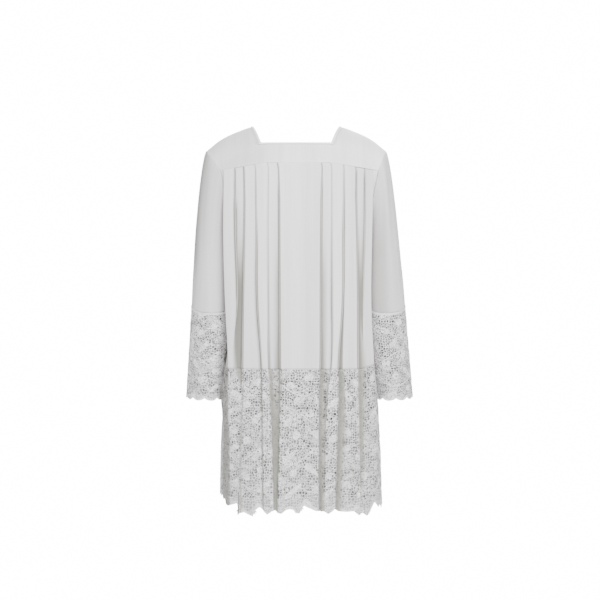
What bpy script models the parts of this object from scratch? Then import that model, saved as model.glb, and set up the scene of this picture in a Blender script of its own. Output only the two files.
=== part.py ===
"""Lace surplice as it hangs when worn, modelled piece by piece for Blender 4.5.

Metres, +Z up. The garment's front faces -Y and the wearer's left side is +X. The origin lies in the
middle of the neck opening, at the height where the cloth rests on the shoulders. Every piece is a
thin closed wall: its outer face is worked out from the garment's sizes, and its inner face lies one
cloth thickness behind it.
"""

import math
from collections import namedtuple
from functools import partial

import bpy
import numpy as np

# Cloth and seams
CLOTH_WALL = 0.0013
LACE_WALL = 0.0015
SEAM_GAP = 0.0004
SLEEVE_GAP = 0.0007
BINDING_WIDTH = 0.0040
BINDING_SLOPE_SHARE = 0.75
BINDING_RAISE = 0.0005
TRIM_HEIGHT = 0.0040
TRIM_RAISE = 0.0006

# Heights of the garment, measured down from the neck
BACK_SEAM_Z = -0.103
UNDERARM_Z = -0.275
HIP_Z = -0.641
HEM_Z = -1.004
SCALLOP_PITCH = 0.042
SCALLOP_DEPTH = 0.015
HIP_LIFT = 0.013
HIP_LIFT_FROM_X = -0.160
HIP_LIFT_RUN = 0.040

# Neck, shoulders and armholes
NECK_HALF = 0.116
NECK_SIDE_Z = 0.004
NECK_CURVE = 1.25
SHOULDER_HALF = 0.240
SHOULDER_Z = -0.062
SHOULDER_ARCH = 1.6
YOKE_CORNER_HALF = 0.207
SEAM_BEND_X = 0.144
UNDERARM_HALF = 0.178
PANEL_BOW = 2.2

# The shoulders sit a little to the wearer's left of the plumb pleats
LEAN = 0.009
LEAN_FROM_Z = -0.127
LEAN_RISE = 0.065

# Top of the shoulders, from the middle outwards
RidgePoint = namedtuple("RidgePoint", "x z")
RIDGE = (
    RidgePoint(0.000, 0.012),
    RidgePoint(0.116, 0.004),
    RidgePoint(0.148, -0.006),
    RidgePoint(0.203, -0.032),
    RidgePoint(0.240, -0.062),
)

# Sections of the body, from the back yoke seam down to the hem. The corners are where the pleated
# panel turns in beside the arm, and the bend is the point that this turn curves towards.
Section = namedtuple(
    "Section", "z back_y front_y left_x right_x corner_back_y corner_front_y side_x bend_x"
)
SECTIONS = (
    Section(BACK_SEAM_Z, 0.145, 0.128, 0.198, 0.198, 0.0997, 0.090, YOKE_CORNER_HALF, 0.202),
    Section(UNDERARM_Z, 0.162, 0.139, 0.200, 0.199, 0.116, 0.104, UNDERARM_HALF, 0.182),
    Section(-0.460, 0.168, 0.146, 0.196, 0.196, 0.125, 0.113, 0.170, 0.174),
    Section(-0.640, 0.172, 0.152, 0.191, 0.197, 0.130, 0.118, 0.182, 0.185),
    Section(-0.740, 0.176, 0.156, 0.187, 0.199, 0.131, 0.121, 0.203, 0.203),
    Section(-0.810, 0.180, 0.160, 0.184, 0.200, 0.130, 0.123, 0.209, 0.210),
    Section(-1.020, 0.190, 0.172, 0.182, 0.202, 0.128, 0.125, 0.214, 0.216),
)
SIDE_TURN_STEPS = (0.0, 0.34, 0.67)

# Pleat folds across a panel, in millimetres from the middle, from the wearer's left to right. A fold
# is the edge of a flap: top is +1 where the cloth on its left lies over, -1 where that on its right
# does, and 0 at a soft bend with no flap. The tuck is how far back the layer under the flap lies.
FOLD_LEVELS = (BACK_SEAM_Z, -0.300, -0.460, -0.640, -0.810, -1.020)
TUCK_LEVELS = (BACK_SEAM_Z, -0.640, -1.020)
TUCK_SLANT = 0.6
MOST_SLANT = 0.005
FACE_CROWN = 0.06
Fold = namedtuple("Fold", "yoke chest waist hip thigh hem top tuck_yoke tuck_hip tuck_hem")
BACK_FOLDS = (
    Fold(173, 168, 162, 168, 161, 161, +1, 4.0, 10, 8),
    Fold(144, 145, 148, 151, 154, 156, -1, 4.0, 12, 9),
    Fold(114, 113, 113, 104, 99, 95, -1, 4.0, 7, 9),
    Fold(84, 84, 83, 80, 72, 70, +1, 4.0, 9, 16),
    Fold(56, 54, 53, 53, 53, 51, -1, 4.0, 9, 18),
    Fold(-56, -56, -57, -58, -48, -46, +1, 4.0, 9, 12),
    Fold(-84, -84, -84, -82, -66, -64, -1, 4.0, 9, 10),
    Fold(-99, -99, -98, -95, -93, -94, 0, 0.0, 0, 0),
    Fold(-113, -113, -112, -105, -108, -110, -1, 4.0, 10, 20),
    Fold(-145, -149, -151, -154, -155, -156, +1, 4.0, 7, 3),
    Fold(-172, -168, -165, -166, -168, -170, -1, 4.0, 5, 3),
)
FRONT_HALF_FOLDS = (
    Fold(173, 170, 168, 167, 166, 166, +1, 4.0, 9, 10),
    Fold(144, 144, 145, 147, 149, 150, -1, 4.0, 9, 11),
    Fold(114, 113, 113, 110, 108, 106, -1, 4.0, 7, 9),
    Fold(84, 84, 83, 80, 76, 74, +1, 4.0, 9, 15),
    Fold(56, 55, 54, 54, 53, 52, -1, 4.0, 9, 15),
)


def mirrored_folds(folds):
    """The same folds on the other side of the middle, in the order of the section."""
    return tuple(
        Fold(*(-x for x in fold[:7]), fold.tuck_yoke, fold.tuck_hip, fold.tuck_hem)
        for fold in reversed(folds)
    )


# What differs between the back and the front: the squared neckline and the yoke's lower seam, with
# its middle and its end beside the arm
Side = namedtuple("Side", "name way neck_half neck_y neck_z seam_z corner_z folds")
BACK = Side("back", 1, 0.092, 0.095, -0.048, BACK_SEAM_Z, -0.127, BACK_FOLDS)
FRONT = Side(
    "front", -1, 0.088, 0.098, -0.108, -0.170, -0.166,
    FRONT_HALF_FOLDS + mirrored_folds(FRONT_HALF_FOLDS),
)

# Rings of a sleeve below the armhole: the middle, half its width and depth, and how much lower its
# back and its inner side hang. Shares of the sleeve's length are 1, 2 and 3 at these rings.
Ring = namedtuple("Ring", "x y z half_width half_depth back_drop inner_drop")
SLEEVE_RINGS = (
    Ring(0.2305, -0.004, -0.345, 0.0475, 0.085, 0.004, 0.022),
    Ring(0.2355, -0.012, -0.482, 0.0525, 0.087, 0.015, 0.000),
    Ring(0.2560, -0.026, -0.712, 0.0495, 0.094, 0.003, 0.002),
)
RING_SHARES = (1.0, 2.0, 3.0)
HEAD_START = (0.040, 0.010, -0.035)
SLEEVE_WAVE = 0.03
CUFF_SCALLOP_DEPTH = 0.008

# Rows and columns
ARMHOLE_STEP = 18
YOKE_SEAM_X = (0.176, SEAM_BEND_X, 0.108, 0.072, 0.036, 0.0)
YOKE_ROWS = 5
BODY_ROWS = (-0.360, -0.460, -0.555, HIP_Z)
LACE_ROWS = (HIP_Z, -0.695, -0.750, -0.805, -0.860, -0.915, -0.968, HEM_Z)
SLEEVE_ROWS = (0.0, 0.14, 0.32, 0.58, 1.0, 1.5, 2.0)
CUFF_ROWS = (2.0, 2.18, 2.35, 2.52, 2.69, 2.86, 3.0)
BODY_COLUMN = 0.022
LACE_COLUMN = 0.0165

# Gaps cut through the lace
GAP_HALF_WIDTH = 0.0036
GAP_HALF_HEIGHT = 0.0058
GAP_SPACING = 4
NARROWEST_CELL = 0.0105


def lerp(a, b, t):
    return a + (b - a) * t


def clamp(x):
    return min(max(x, 0.0), 1.0)


def ramp(x):
    """A soft step from 0 at x = 0 to 1 at x = 1."""
    x = clamp(x)
    return x * x * (3 - 2 * x)


def hermite(start, start_slope, end, end_slope, t):
    return (
        (2 * t**3 - 3 * t**2 + 1) * start
        + (t**3 - 2 * t**2 + t) * start_slope
        + (3 * t**2 - 2 * t**3) * end
        + (t**3 - t**2) * end_slope
    )


def along(xs, ys, x):
    """A smooth curve through the points (xs, ys), read at x. The xs rise or fall steadily."""
    if xs[0] > xs[-1]:
        xs, ys = xs[::-1], ys[::-1]
    x = min(max(x, xs[0]), xs[-1])
    i = next(k for k in range(len(xs) - 1) if x <= xs[k + 1])
    step = xs[i + 1] - xs[i]
    slopes = [(ys[k + 1] - ys[k]) / (xs[k + 1] - xs[k]) for k in range(len(xs) - 1)]
    start = (slopes[max(i - 1, 0)] + slopes[i]) / 2
    end = (slopes[i] + slopes[min(i + 1, len(slopes) - 1)]) / 2
    return hermite(ys[i], start * step, ys[i + 1], end * step, (x - xs[i]) / step)


def section_value(field, z):
    return along([s.z for s in SECTIONS], [getattr(s, field) for s in SECTIONS], z)


def lean(z):
    return LEAN * ramp((z - LEAN_FROM_Z) / LEAN_RISE)


# The shoulder form and the yoke


def panel_y(side, x, z):
    """Depth of the panel in front of or behind the middle, a shallow bow across its width."""
    middle = section_value(f"{side.name}_y", z)
    corner = section_value(f"corner_{side.name}_y", z)
    half = section_value("left_x" if x > 0 else "right_x", z)
    return lerp(middle, corner, (abs(x) / half) ** PANEL_BOW)


def seam_z(side, x):
    """Height of the yoke's lower seam, which drops towards the arms."""
    share = clamp((abs(x) - SEAM_BEND_X) / (YOKE_CORNER_HALF - SEAM_BEND_X))
    return lerp(side.seam_z, side.corner_z, share)


def leaned_seam_z(side, x):
    """The same height, read where the lean has carried the cloth."""
    return seam_z(side, x - lean(side.seam_z))


def shoulder_z(side, x, y):
    """Height of the shoulder form: an arch from the ridge down to the yoke seam."""
    ridge = along([p.x for p in RIDGE], [p.z for p in RIDGE], abs(x))
    share = min(abs(y) / panel_y(side, x, side.seam_z), 1.3)
    return lerp(ridge, seam_z(side, x), share**SHOULDER_ARCH)


def armhole(side, angle):
    """A point of the left armhole, at 0 degrees on top of the shoulder, 90 at the yoke's corner and
    180 under the arm."""
    turn = math.radians(angle)
    if angle <= 90:
        x = lerp(SHOULDER_HALF, YOKE_CORNER_HALF, 1 - math.cos(turn))
        z = lerp(SHOULDER_Z, side.corner_z, 1 - math.cos(turn))
    else:
        x = lerp(YOKE_CORNER_HALF, UNDERARM_HALF, -math.cos(turn))
        z = lerp(side.corner_z, UNDERARM_Z, -math.cos(turn))
    corner_y = panel_y(side, YOKE_CORNER_HALF, side.seam_z)
    return x, side.way * corner_y * math.sin(turn), z


def neck_point(side, share, grow):
    """The left half of the neck edge, or of its outline grown outwards: the slanted side from share
    0 to 1, then the straight edge to its middle at 2."""
    slanted = min(share, 1.0)
    x = lerp(NECK_HALF, side.neck_half, slanted)
    y = side.way * side.neck_y * slanted
    z = lerp(NECK_SIDE_Z, side.neck_z, slanted**NECK_CURVE)
    if share > 1:
        x *= 2 - share
    rise = z - shoulder_z(side, x, y)
    x += grow * x / side.neck_half if share > 1 else grow
    y += side.way * grow * BINDING_SLOPE_SHARE * slanted
    return x, y, shoulder_z(side, x, y) + rise


def yoke_columns(side, grow):
    """Matching points of the neck outline and the yoke's outer edge, from the wearer's left
    shoulder to the right one."""
    columns = []
    for angle in range(0, 91, ARMHOLE_STEP):
        columns.append((neck_point(side, angle / 90, grow), armhole(side, angle)))
    for x in YOKE_SEAM_X:
        outer = (x, side.way * panel_y(side, x, side.seam_z), seam_z(side, x))
        columns.append((neck_point(side, 2 - x / YOKE_CORNER_HALF, grow), outer))
    right = [((-n[0], *n[1:]), (-o[0], *o[1:])) for n, o in columns[:-1]]
    return columns + right[::-1]


def yoke_point(side, neck, outer, share):
    """A point of the yoke between the neck outline and the outer edge, on the shoulder form."""
    x = lerp(neck[0], outer[0], share)
    y = lerp(neck[1], outer[1], share)
    neck_rise = neck[2] - shoulder_z(side, neck[0], neck[1])
    outer_rise = outer[2] - shoulder_z(side, outer[0], outer[1])
    z = shoulder_z(side, x, y) + lerp(neck_rise, outer_rise, share)
    return x + lean(z), y, z


def yoke_grid(side):
    columns = yoke_columns(side, BINDING_WIDTH + SEAM_GAP)
    grid = np.array(
        [
            [yoke_point(side, neck, outer, k / YOKE_ROWS) for neck, outer in columns]
            for k in range(YOKE_ROWS + 1)
        ]
    )
    grid[:, (0, -1), 1] += side.way * SEAM_GAP / 2
    return grid if side.way > 0 else grid[:, ::-1]


def binding_grid():
    """The binding round the whole neck, its middle raised a little."""
    rows = []
    for share in (0.0, 0.5, 1.0):
        row = []
        for side in (BACK, FRONT):
            columns = yoke_columns(side, BINDING_WIDTH * share)
            points = [(n[0] + lean(n[2]), n[1], n[2]) for n, _ in columns]
            row += points if side.way > 0 else points[-2:0:-1]
        rows.append(row)
    grid = np.array(rows)
    rise = np.array((BINDING_RAISE, 2 * BINDING_RAISE, BINDING_RAISE))
    return grid + outward_steps(grid, True) * rise[:, None, None]


# The pleated body


def fold_marks(fold, z):
    """A fold's points at a height, as (x, how far back the cloth lies)."""
    x = along(FOLD_LEVELS, fold[:6], z) / 1000
    tuck = along(TUCK_LEVELS, fold[7:], z) / 1000
    edge = (x, 0.0)
    under = (x + fold.top * min(MOST_SLANT, TUCK_SLANT * tuck), tuck)
    if fold.top == 0:
        return [edge]
    return [edge, under] if fold.top > 0 else [under, edge]


def panel_marks(side, z):
    """The panel's corners and all its folds at a height."""
    marks = [(section_value("left_x", z), 0.0)]
    for fold in side.folds:
        marks += fold_marks(fold, z)
    return marks + [(-section_value("right_x", z), 0.0)]


def arm_share(side, z):
    """How far down the armhole a row lies: 0 at the yoke seam and 1 under the arm."""
    return clamp((side.seam_z - z) / (side.seam_z - UNDERARM_Z))


def row_height(side, x, z):
    """Height of a row at x. The upper rows follow the yoke seam, and the lower ones the lace seam,
    which rises towards the right side."""
    lift = HIP_LIFT * clamp((HIP_LIFT_FROM_X - x) / HIP_LIFT_RUN)
    if z > HIP_Z:
        near_hip = ramp((BODY_ROWS[1] - z) / (BODY_ROWS[1] - HIP_Z))
    else:
        near_hip = ramp((z - HEM_Z) / (HIP_Z - HEM_Z))
    return z + (1 - arm_share(side, z)) * (seam_z(side, x) - side.seam_z) + near_hip * lift


def side_turn(side, z, hand):
    """The turn from the side seam, or the armhole, to the panel's corner. The hand is 1 on the
    wearer's left and -1 on the right."""
    half = section_value("left_x" if hand > 0 else "right_x", z)
    corner = (half, panel_y(side, hand * half, z), row_height(side, hand * half, z))
    share = arm_share(side, z)
    if share < 1:
        x, y, height = armhole(side, 90 + math.degrees(math.asin(share)))
        seam = (x, abs(y), height)
    else:
        seam = (section_value("side_x", z), SEAM_GAP / 2, corner[2])
    bend_x = lerp((seam[0] + corner[0]) / 2, section_value("bend_x", z), share)
    bend = (bend_x, (seam[1] + corner[1]) / 2, (seam[2] + corner[2]) / 2)
    points = []
    for t in SIDE_TURN_STEPS:
        x, y, height = (
            (1 - t) ** 2 * s + 2 * t * (1 - t) * b + t**2 * c
            for s, b, c in zip(seam, bend, corner)
        )
        points.append((hand * x, side.way * y, height))
    return points


def fill_counts(side, widest):
    """How many points each stretch between two marks gets, from its width at the hip."""
    marks = panel_marks(side, HIP_Z)
    return [math.ceil(abs(b[0] - a[0]) / widest) - 1 for a, b in zip(marks, marks[1:])]


def panel_row(side, z, counts):
    """One row of the body from side seam to side seam, with crowned faces between the folds."""
    marks = panel_marks(side, z)
    crown = FACE_CROWN * ramp((side.seam_z - z) / (side.seam_z - HEM_Z))
    flat = []
    for count, a, b in zip(counts, marks, marks[1:]):
        flat.append(a)
        for n in range(1, count + 1):
            t = n / (count + 1)
            rise = crown * abs(b[0] - a[0]) * 4 * t * (1 - t)
            flat.append((lerp(a[0], b[0], t), lerp(a[1], b[1], t) - rise))
    flat.append(marks[-1])
    row = side_turn(side, z, 1)
    row += [(x, side.way * (panel_y(side, x, z) - tuck), row_height(side, x, z)) for x, tuck in flat]
    row += side_turn(side, z, -1)[::-1]
    row = np.array([(x + lean(height), y, height) for x, y, height in row])
    return row if side.way > 0 else row[::-1]


def body_grid(side):
    counts = fill_counts(side, BODY_COLUMN)
    drops = [math.sin(math.radians(turn)) for turn in range(0, 91, ARMHOLE_STEP)]
    heights = [lerp(side.seam_z, UNDERARM_Z, drop) for drop in drops] + list(BODY_ROWS)
    grid = np.array([panel_row(side, z, counts) for z in heights])
    grid[0, :, 2] -= SEAM_GAP
    return grid


def scallop(length, pitch):
    """A row of round scallops: 1 at a tip and 0 in a notch."""
    return abs(math.sin(math.pi * length / pitch)) ** 0.7


def lace_grid(side):
    """The hem lace, a seam gap under the body, with a scalloped lower edge."""
    counts = fill_counts(side, LACE_COLUMN)
    grid = np.array([panel_row(side, z, counts) for z in LACE_ROWS])
    grid[0, :, 2] -= SEAM_GAP
    steps = np.linalg.norm(np.diff(grid[-1], axis=0), axis=1)
    lengths = np.concatenate([[0.0], np.cumsum(steps)])
    grid[-1, :, 2] -= [SCALLOP_DEPTH * scallop(length, SCALLOP_PITCH) for length in lengths]
    return grid


# The sleeves


def sleeve_ring(angle, share, tilt):
    """A point of the left sleeve below its first ring, at 0 degrees outside, 90 behind and 180
    inside. The tilt is the lean of this sleeve's shoulder away from the body."""
    turn = math.radians(angle)
    x, y, z, half_width, half_depth, back_drop, inner_drop = (
        along(RING_SHARES, [ring[k] for ring in SLEEVE_RINGS], share) for k in range(7)
    )
    wave = 1 + SLEEVE_WAVE * (share - 1) * math.cos(3 * turn + 0.6)
    outward = (1 + math.cos(turn)) / 2
    return np.array(
        (
            x + half_width * math.cos(turn) + tilt * outward * (1 - share / RING_SHARES[-1]),
            y + half_depth * wave * math.sin(turn),
            z - back_drop * math.sin(turn) - inner_drop * (1 - math.cos(turn)) / 2,
        )
    )


def sleeve_point(angle, share, tilt):
    """A point of the left sleeve: share 0 at the armhole and 3 at the cuff's edge."""
    if share >= 1:
        return sleeve_ring(angle, share, tilt)
    side = BACK if angle <= 180 else FRONT
    head = np.array(armhole(side, angle if angle <= 180 else 360 - angle))
    head[0] += lean(head[2]) * tilt / LEAN + SLEEVE_GAP
    ring = sleeve_ring(angle, 1.0, tilt)
    start = np.array(HEAD_START) * (1, math.sin(math.radians(angle)), 1)
    below = sleeve_ring(angle, 1.05, tilt) - ring
    end = below / np.linalg.norm(below) * np.linalg.norm(ring - head)
    return hermite(head, start, ring, end, share)


def sleeve_grid(rows, angles, tilt):
    return np.array([[sleeve_point(angle, share, tilt) for angle in angles] for share in rows])


def ring_angles(start, stop):
    return range(start, stop + 1, ARMHOLE_STEP)


def cuff_grid(start, stop, tilt):
    """Half of the lace cuff, a seam gap under the trim, with a scalloped lower edge."""
    grid = sleeve_grid(CUFF_ROWS, ring_angles(start, stop), tilt)
    grid[0, :, 2] -= TRIM_HEIGHT + 2 * SEAM_GAP
    grid[-1, ::2, 2] -= CUFF_SCALLOP_DEPTH
    way = 1 if stop <= 180 else -1
    grid[:, (0, -1), 1] += way * SEAM_GAP / 2
    return grid


def trim_grid(tilt):
    """The narrow trim that covers the join of sleeve and cuff."""
    top = sleeve_grid((2.0,), ring_angles(0, 360 - ARMHOLE_STEP), tilt)
    top[:, :, 2] -= SEAM_GAP
    grid = np.concatenate([top, top - (0, 0, TRIM_HEIGHT)])
    return grid + outward_steps(grid, True) * TRIM_RAISE


def handed(grid, hand):
    """A left sleeve's grid, or the same on the wearer's right."""
    return grid if hand > 0 else grid[:, ::-1] * (-1, 1, 1)


# Walls


def unit(vectors):
    return vectors / np.maximum(np.linalg.norm(vectors, axis=-1, keepdims=True), 1e-9)


def outward_steps(grid, closed, level_rows=()):
    """Steps out of the wall at each point that give it an even thickness, longer at the folds. On
    level rows, such as those along a seam, they are kept level."""
    down = np.gradient(grid, axis=0)
    into = grid - np.roll(grid, 1, axis=1)
    out = np.roll(grid, -1, axis=1) - grid
    if not closed:
        into[:, 0] = out[:, 0]
        out[:, -1] = into[:, -1]
    first = unit(np.cross(down, into))
    normal = unit(first + unit(np.cross(down, out)))
    if not closed:
        normal[:, (0, -1), 1] = 0
    for row in level_rows:
        normal[row, :, 2] = 0
    normal = unit(normal)
    return normal / np.maximum((normal * first).sum(axis=-1, keepdims=True), 0.5)


def gap_outline(points, j, i, n):
    """The four corners of a gap in a cell, a kite that leans one way or the other in turn."""
    top = (points[j, i] + points[j, n]) / 2
    low = (points[j + 1, i] + points[j + 1, n]) / 2
    left = (points[j, i] + points[j + 1, i]) / 2
    right = (points[j, n] + points[j + 1, n]) / 2
    middle = (top + low) / 2
    down = unit(low - top) * GAP_HALF_HEIGHT
    across = unit(right - left) * GAP_HALF_WIDTH
    lean_way = 0.4 * math.sin(1.7 * j + 2.9 * i)
    return (
        middle - down + across * lean_way,
        middle + across - down * lean_way / 2,
        middle + down - across * lean_way,
        middle - across + down * lean_way / 2,
    )


def wall(name, grid, thickness, material, closed=False, seams=None, gaps=()):
    """A closed wall behind a grid of outer points. A closed grid joins its last column to its
    first. The seams give the height at x of each row that is sewn to another piece, and there the
    wall is cut level. Each gap is the (row, column) of a cell that is cut through."""
    seams = seams or {}
    inner = grid - outward_steps(grid, closed, seams) * thickness
    for row, height in seams.items():
        for outer_point, inner_point in zip(grid[row], inner[row]):
            inner_point[2] += height(inner_point[0]) - height(outer_point[0])
    rows, columns = grid.shape[:2]
    verts = [tuple(p) for p in grid.reshape(-1, 3)] + [tuple(p) for p in inner.reshape(-1, 3)]
    faces = []

    def at(j, i, back):
        return (back * rows + j) * columns + i % columns

    def cell(j, i, back):
        corners = [at(j, i, back), at(j, i + 1, back), at(j + 1, i + 1, back), at(j + 1, i, back)]
        return corners if back else corners[::-1]

    def add_gap(j, i):
        rings = []
        for back, points in ((0, grid), (1, inner)):
            ring = list(range(len(verts), len(verts) + 4))
            verts.extend(tuple(p) for p in gap_outline(points, j, i, (i + 1) % columns))
            corners = cell(j, i, 1)
            if not back:
                corners = [c - rows * columns for c in corners]
            for k in range(4):
                n = (k + 1) % 4
                pair = [[corners[k], corners[n], ring[k]], [corners[n], ring[n], ring[k]]]
                faces.extend(pair if back else [face[::-1] for face in pair])
            rings.append(ring)
        for k in range(4):
            n = (k + 1) % 4
            faces.append([rings[1][k], rings[1][n], rings[0][n], rings[0][k]])

    last = columns if closed else columns - 1
    for j in range(rows - 1):
        for i in range(last):
            if (j, i) in gaps:
                add_gap(j, i)
            else:
                faces += [cell(j, i, 0), cell(j, i, 1)]
    low = rows - 1
    for i in range(last):
        faces.append([at(0, i, 0), at(0, i + 1, 0), at(0, i + 1, 1), at(0, i, 1)])
        faces.append([at(low, i, 1), at(low, i + 1, 1), at(low, i + 1, 0), at(low, i, 0)])
    if not closed:
        for j in range(rows - 1):
            faces.append([at(j, 0, 0), at(j, 0, 1), at(j + 1, 0, 1), at(j + 1, 0, 0)])
            faces.append(
                [at(j, last, 0), at(j + 1, last, 0), at(j + 1, last, 1), at(j, last, 1)]
            )
    mesh = bpy.data.meshes.new(name)
    mesh.from_pydata(verts, [], faces)
    mesh.update()
    mesh.shade_smooth()
    mesh.set_sharp_from_angle(angle=math.radians(40))
    mesh.materials.append(material)
    obj = bpy.data.objects.new(name, mesh)
    bpy.context.scene.collection.objects.link(obj)
    return obj


def level(x):
    """The height along a seam that stays level across the cloth's thickness."""
    return 0.0 * x


def lace_gaps(grid):
    """The cells that are cut through: every fourth one that is wide enough, staggered by row."""
    rows, columns = grid.shape[:2]
    widths = np.linalg.norm(np.diff(grid, axis=1), axis=2)
    return {
        (j, i)
        for j in range(rows - 1)
        for i in range(columns - 1)
        if (i + 2 * j) % GAP_SPACING == 0 and widths[j : j + 2, i].min() > NARROWEST_CELL
    }


def paint(name, colour, roughness):
    material = bpy.data.materials.new(name)
    material.use_nodes = True
    shader = material.node_tree.nodes["Principled BSDF"]
    shader.inputs["Base Color"].default_value = (*colour, 1.0)
    shader.inputs["Roughness"].default_value = roughness
    shader.inputs["Metallic"].default_value = 0.0
    return material


def build():
    for obj in list(bpy.data.objects):
        bpy.data.objects.remove(obj)
    cloth = paint("white_crepe", (0.78, 0.77, 0.77), 0.75)
    lace = paint("white_lace", (0.74, 0.73, 0.73), 0.85)
    braid = paint("white_binding", (0.84, 0.84, 0.84), 0.60)

    wall("neck_binding", binding_grid(), CLOTH_WALL + BINDING_RAISE, braid, closed=True)
    for side in (BACK, FRONT):
        yoke_seam = partial(leaned_seam_z, side)
        lace_seam = partial(row_height, side, z=HIP_Z)
        wall(f"yoke_{side.name}", yoke_grid(side), CLOTH_WALL, cloth, seams={-1: yoke_seam})
        body_seams = {0: yoke_seam, -1: lace_seam}
        wall(f"body_{side.name}", body_grid(side), CLOTH_WALL, cloth, seams=body_seams)
        grid = lace_grid(side)
        gaps = lace_gaps(grid)
        wall(f"hem_lace_{side.name}", grid, LACE_WALL, lace, seams={0: lace_seam}, gaps=gaps)
    for name, hand in (("left", 1), ("right", -1)):
        tilt = hand * LEAN
        sleeve = handed(sleeve_grid(SLEEVE_ROWS, ring_angles(0, 360 - ARMHOLE_STEP), tilt), hand)
        wall(f"sleeve_{name}", sleeve, CLOTH_WALL, cloth, closed=True, seams={-1: level})
        trim = handed(trim_grid(tilt), hand)
        trim_seams = {0: level, -1: level}
        wall(f"cuff_trim_{name}", trim, CLOTH_WALL + TRIM_RAISE, braid, closed=True, seams=trim_seams)
        for half, start in (("back", 0), ("front", 180)):
            grid = handed(cuff_grid(start, start + 180, tilt), hand)
            gaps = lace_gaps(grid)
            wall(f"cuff_lace_{name}_{half}", grid, LACE_WALL, lace, seams={0: level}, gaps=gaps)


build()
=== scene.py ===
"""Lace surplice as it hangs when worn: the finished surfaces, laid out as an add-on for Blender 4.5.

Metres, +Z up. The garment's front faces -Y and the wearer's left side is +X. Each sheet of cloth is
worked out from the garment's sizes. The lace is charted flat, as (distance along the band, distance
below the seam), and then laid on the worn form.
"""

import math
from collections import namedtuple
from functools import wraps

import bpy
import numpy as np
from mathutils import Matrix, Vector


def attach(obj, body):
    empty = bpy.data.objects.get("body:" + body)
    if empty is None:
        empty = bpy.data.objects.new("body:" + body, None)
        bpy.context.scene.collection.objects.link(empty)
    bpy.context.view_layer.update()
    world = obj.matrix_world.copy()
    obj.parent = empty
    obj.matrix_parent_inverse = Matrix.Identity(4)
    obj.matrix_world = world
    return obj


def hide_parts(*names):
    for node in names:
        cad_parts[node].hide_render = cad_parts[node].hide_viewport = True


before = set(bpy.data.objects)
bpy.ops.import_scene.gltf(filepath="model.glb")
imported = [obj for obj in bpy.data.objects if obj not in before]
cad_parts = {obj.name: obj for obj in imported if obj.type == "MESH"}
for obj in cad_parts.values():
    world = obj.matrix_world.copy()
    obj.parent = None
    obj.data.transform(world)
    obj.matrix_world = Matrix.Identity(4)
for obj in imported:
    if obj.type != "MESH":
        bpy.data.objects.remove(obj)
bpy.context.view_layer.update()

bl_info = {
    "name": "Lace Surplice",
    "version": (1, 0, 0),
    "blender": (4, 5, 0),
    "location": "3D View > Sidebar > Surplice",
    "description": "Builds a worn surplice of pleated crepe with floral lace at the cuffs and hem",
    "category": "Object",
}

BODY = "root"
MM = 0.001

# Seams and bindings
SEAM_GAP = 0.0004
SLEEVE_GAP = 0.0007
BINDING_WIDTH = 0.0052
BINDING_SLOPE_SHARE = 0.75
TRIM_HEIGHT = 0.0040
LACE_TOP_INSIDE = 0.0014
LACE_TOP_OVERLAP = 0.0018
SIDE_LAP = 0.0024
SIDE_LAP_INSIDE = 0.005
BINDING_THICKNESS = 0.0008
BRAID_THICKNESS = 0.0006
BRAID_UP = 0.0008
BRAID_DOWN = 0.0002
BRAID_OFF = 0.0004
BRAID_RIDGE_SHARE = 0.42

# The yoke's edge: its lap over the pleats and over the armholes, and the lip under the first, each
# as how far it goes outwards, or inwards for the lip, and downwards
SEAM_LAP = (0.0003, 0.0022)
ARM_LAP = (0.0006, 0.0004)
SEAM_LIP = (0.0006, 0.0003)

# Heights of the garment, measured down from the neck
BACK_SEAM_Z = -0.103
UNDERARM_Z = -0.275
HIP_Z = -0.641
HEM_Z = -1.004
LOWEST_Z = -1.020
HIP_LIFT = 0.013
HIP_LIFT_FROM_X = -0.160
HIP_LIFT_RUN = 0.040
WAIST_Z = -0.460

# Neck, shoulders and armholes
NECK_HALF = 0.116
NECK_SIDE_Z = 0.004
NECK_CURVE = 1.25
SHOULDER_HALF = 0.240
SHOULDER_Z = -0.062
SHOULDER_ARCH = 1.6
YOKE_CORNER_HALF = 0.207
SEAM_BEND_X = 0.086
UNDERARM_HALF = 0.178
PANEL_BOW = 2.2

# The shoulders sit a little to the wearer's left of the plumb pleats
LEAN = 0.009
LEAN_FROM_Z = -0.127
LEAN_RISE = 0.065

# Top of the shoulders, from the middle outwards
RidgePoint = namedtuple("RidgePoint", "x z")
RIDGE = (
    RidgePoint(0.000, 0.012),
    RidgePoint(0.116, 0.004),
    RidgePoint(0.148, -0.006),
    RidgePoint(0.203, -0.032),
    RidgePoint(0.240, -0.062),
)

# Sections of the body, from the back yoke seam down to the hem. The corners are where the pleated
# panel turns in beside the arm, and the bend is the point that this turn curves towards.
Section = namedtuple(
    "Section", "z back_y front_y left_x right_x corner_back_y corner_front_y side_x bend_x"
)
SECTIONS = (
    Section(BACK_SEAM_Z, 0.145, 0.128, 0.198, 0.194, 0.0997, 0.090, YOKE_CORNER_HALF, 0.202),
    Section(UNDERARM_Z, 0.162, 0.139, 0.200, 0.191, 0.116, 0.104, UNDERARM_HALF, 0.182),
    Section(WAIST_Z, 0.168, 0.146, 0.195, 0.188, 0.125, 0.113, 0.173, 0.177),
    Section(-0.640, 0.172, 0.152, 0.1855, 0.195, 0.130, 0.118, 0.191, 0.193),
    Section(-0.740, 0.176, 0.156, 0.187, 0.199, 0.131, 0.121, 0.203, 0.203),
    Section(-0.810, 0.180, 0.160, 0.184, 0.200, 0.130, 0.123, 0.209, 0.210),
    Section(-1.020, 0.190, 0.172, 0.182, 0.202, 0.128, 0.125, 0.214, 0.216),
)

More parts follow.
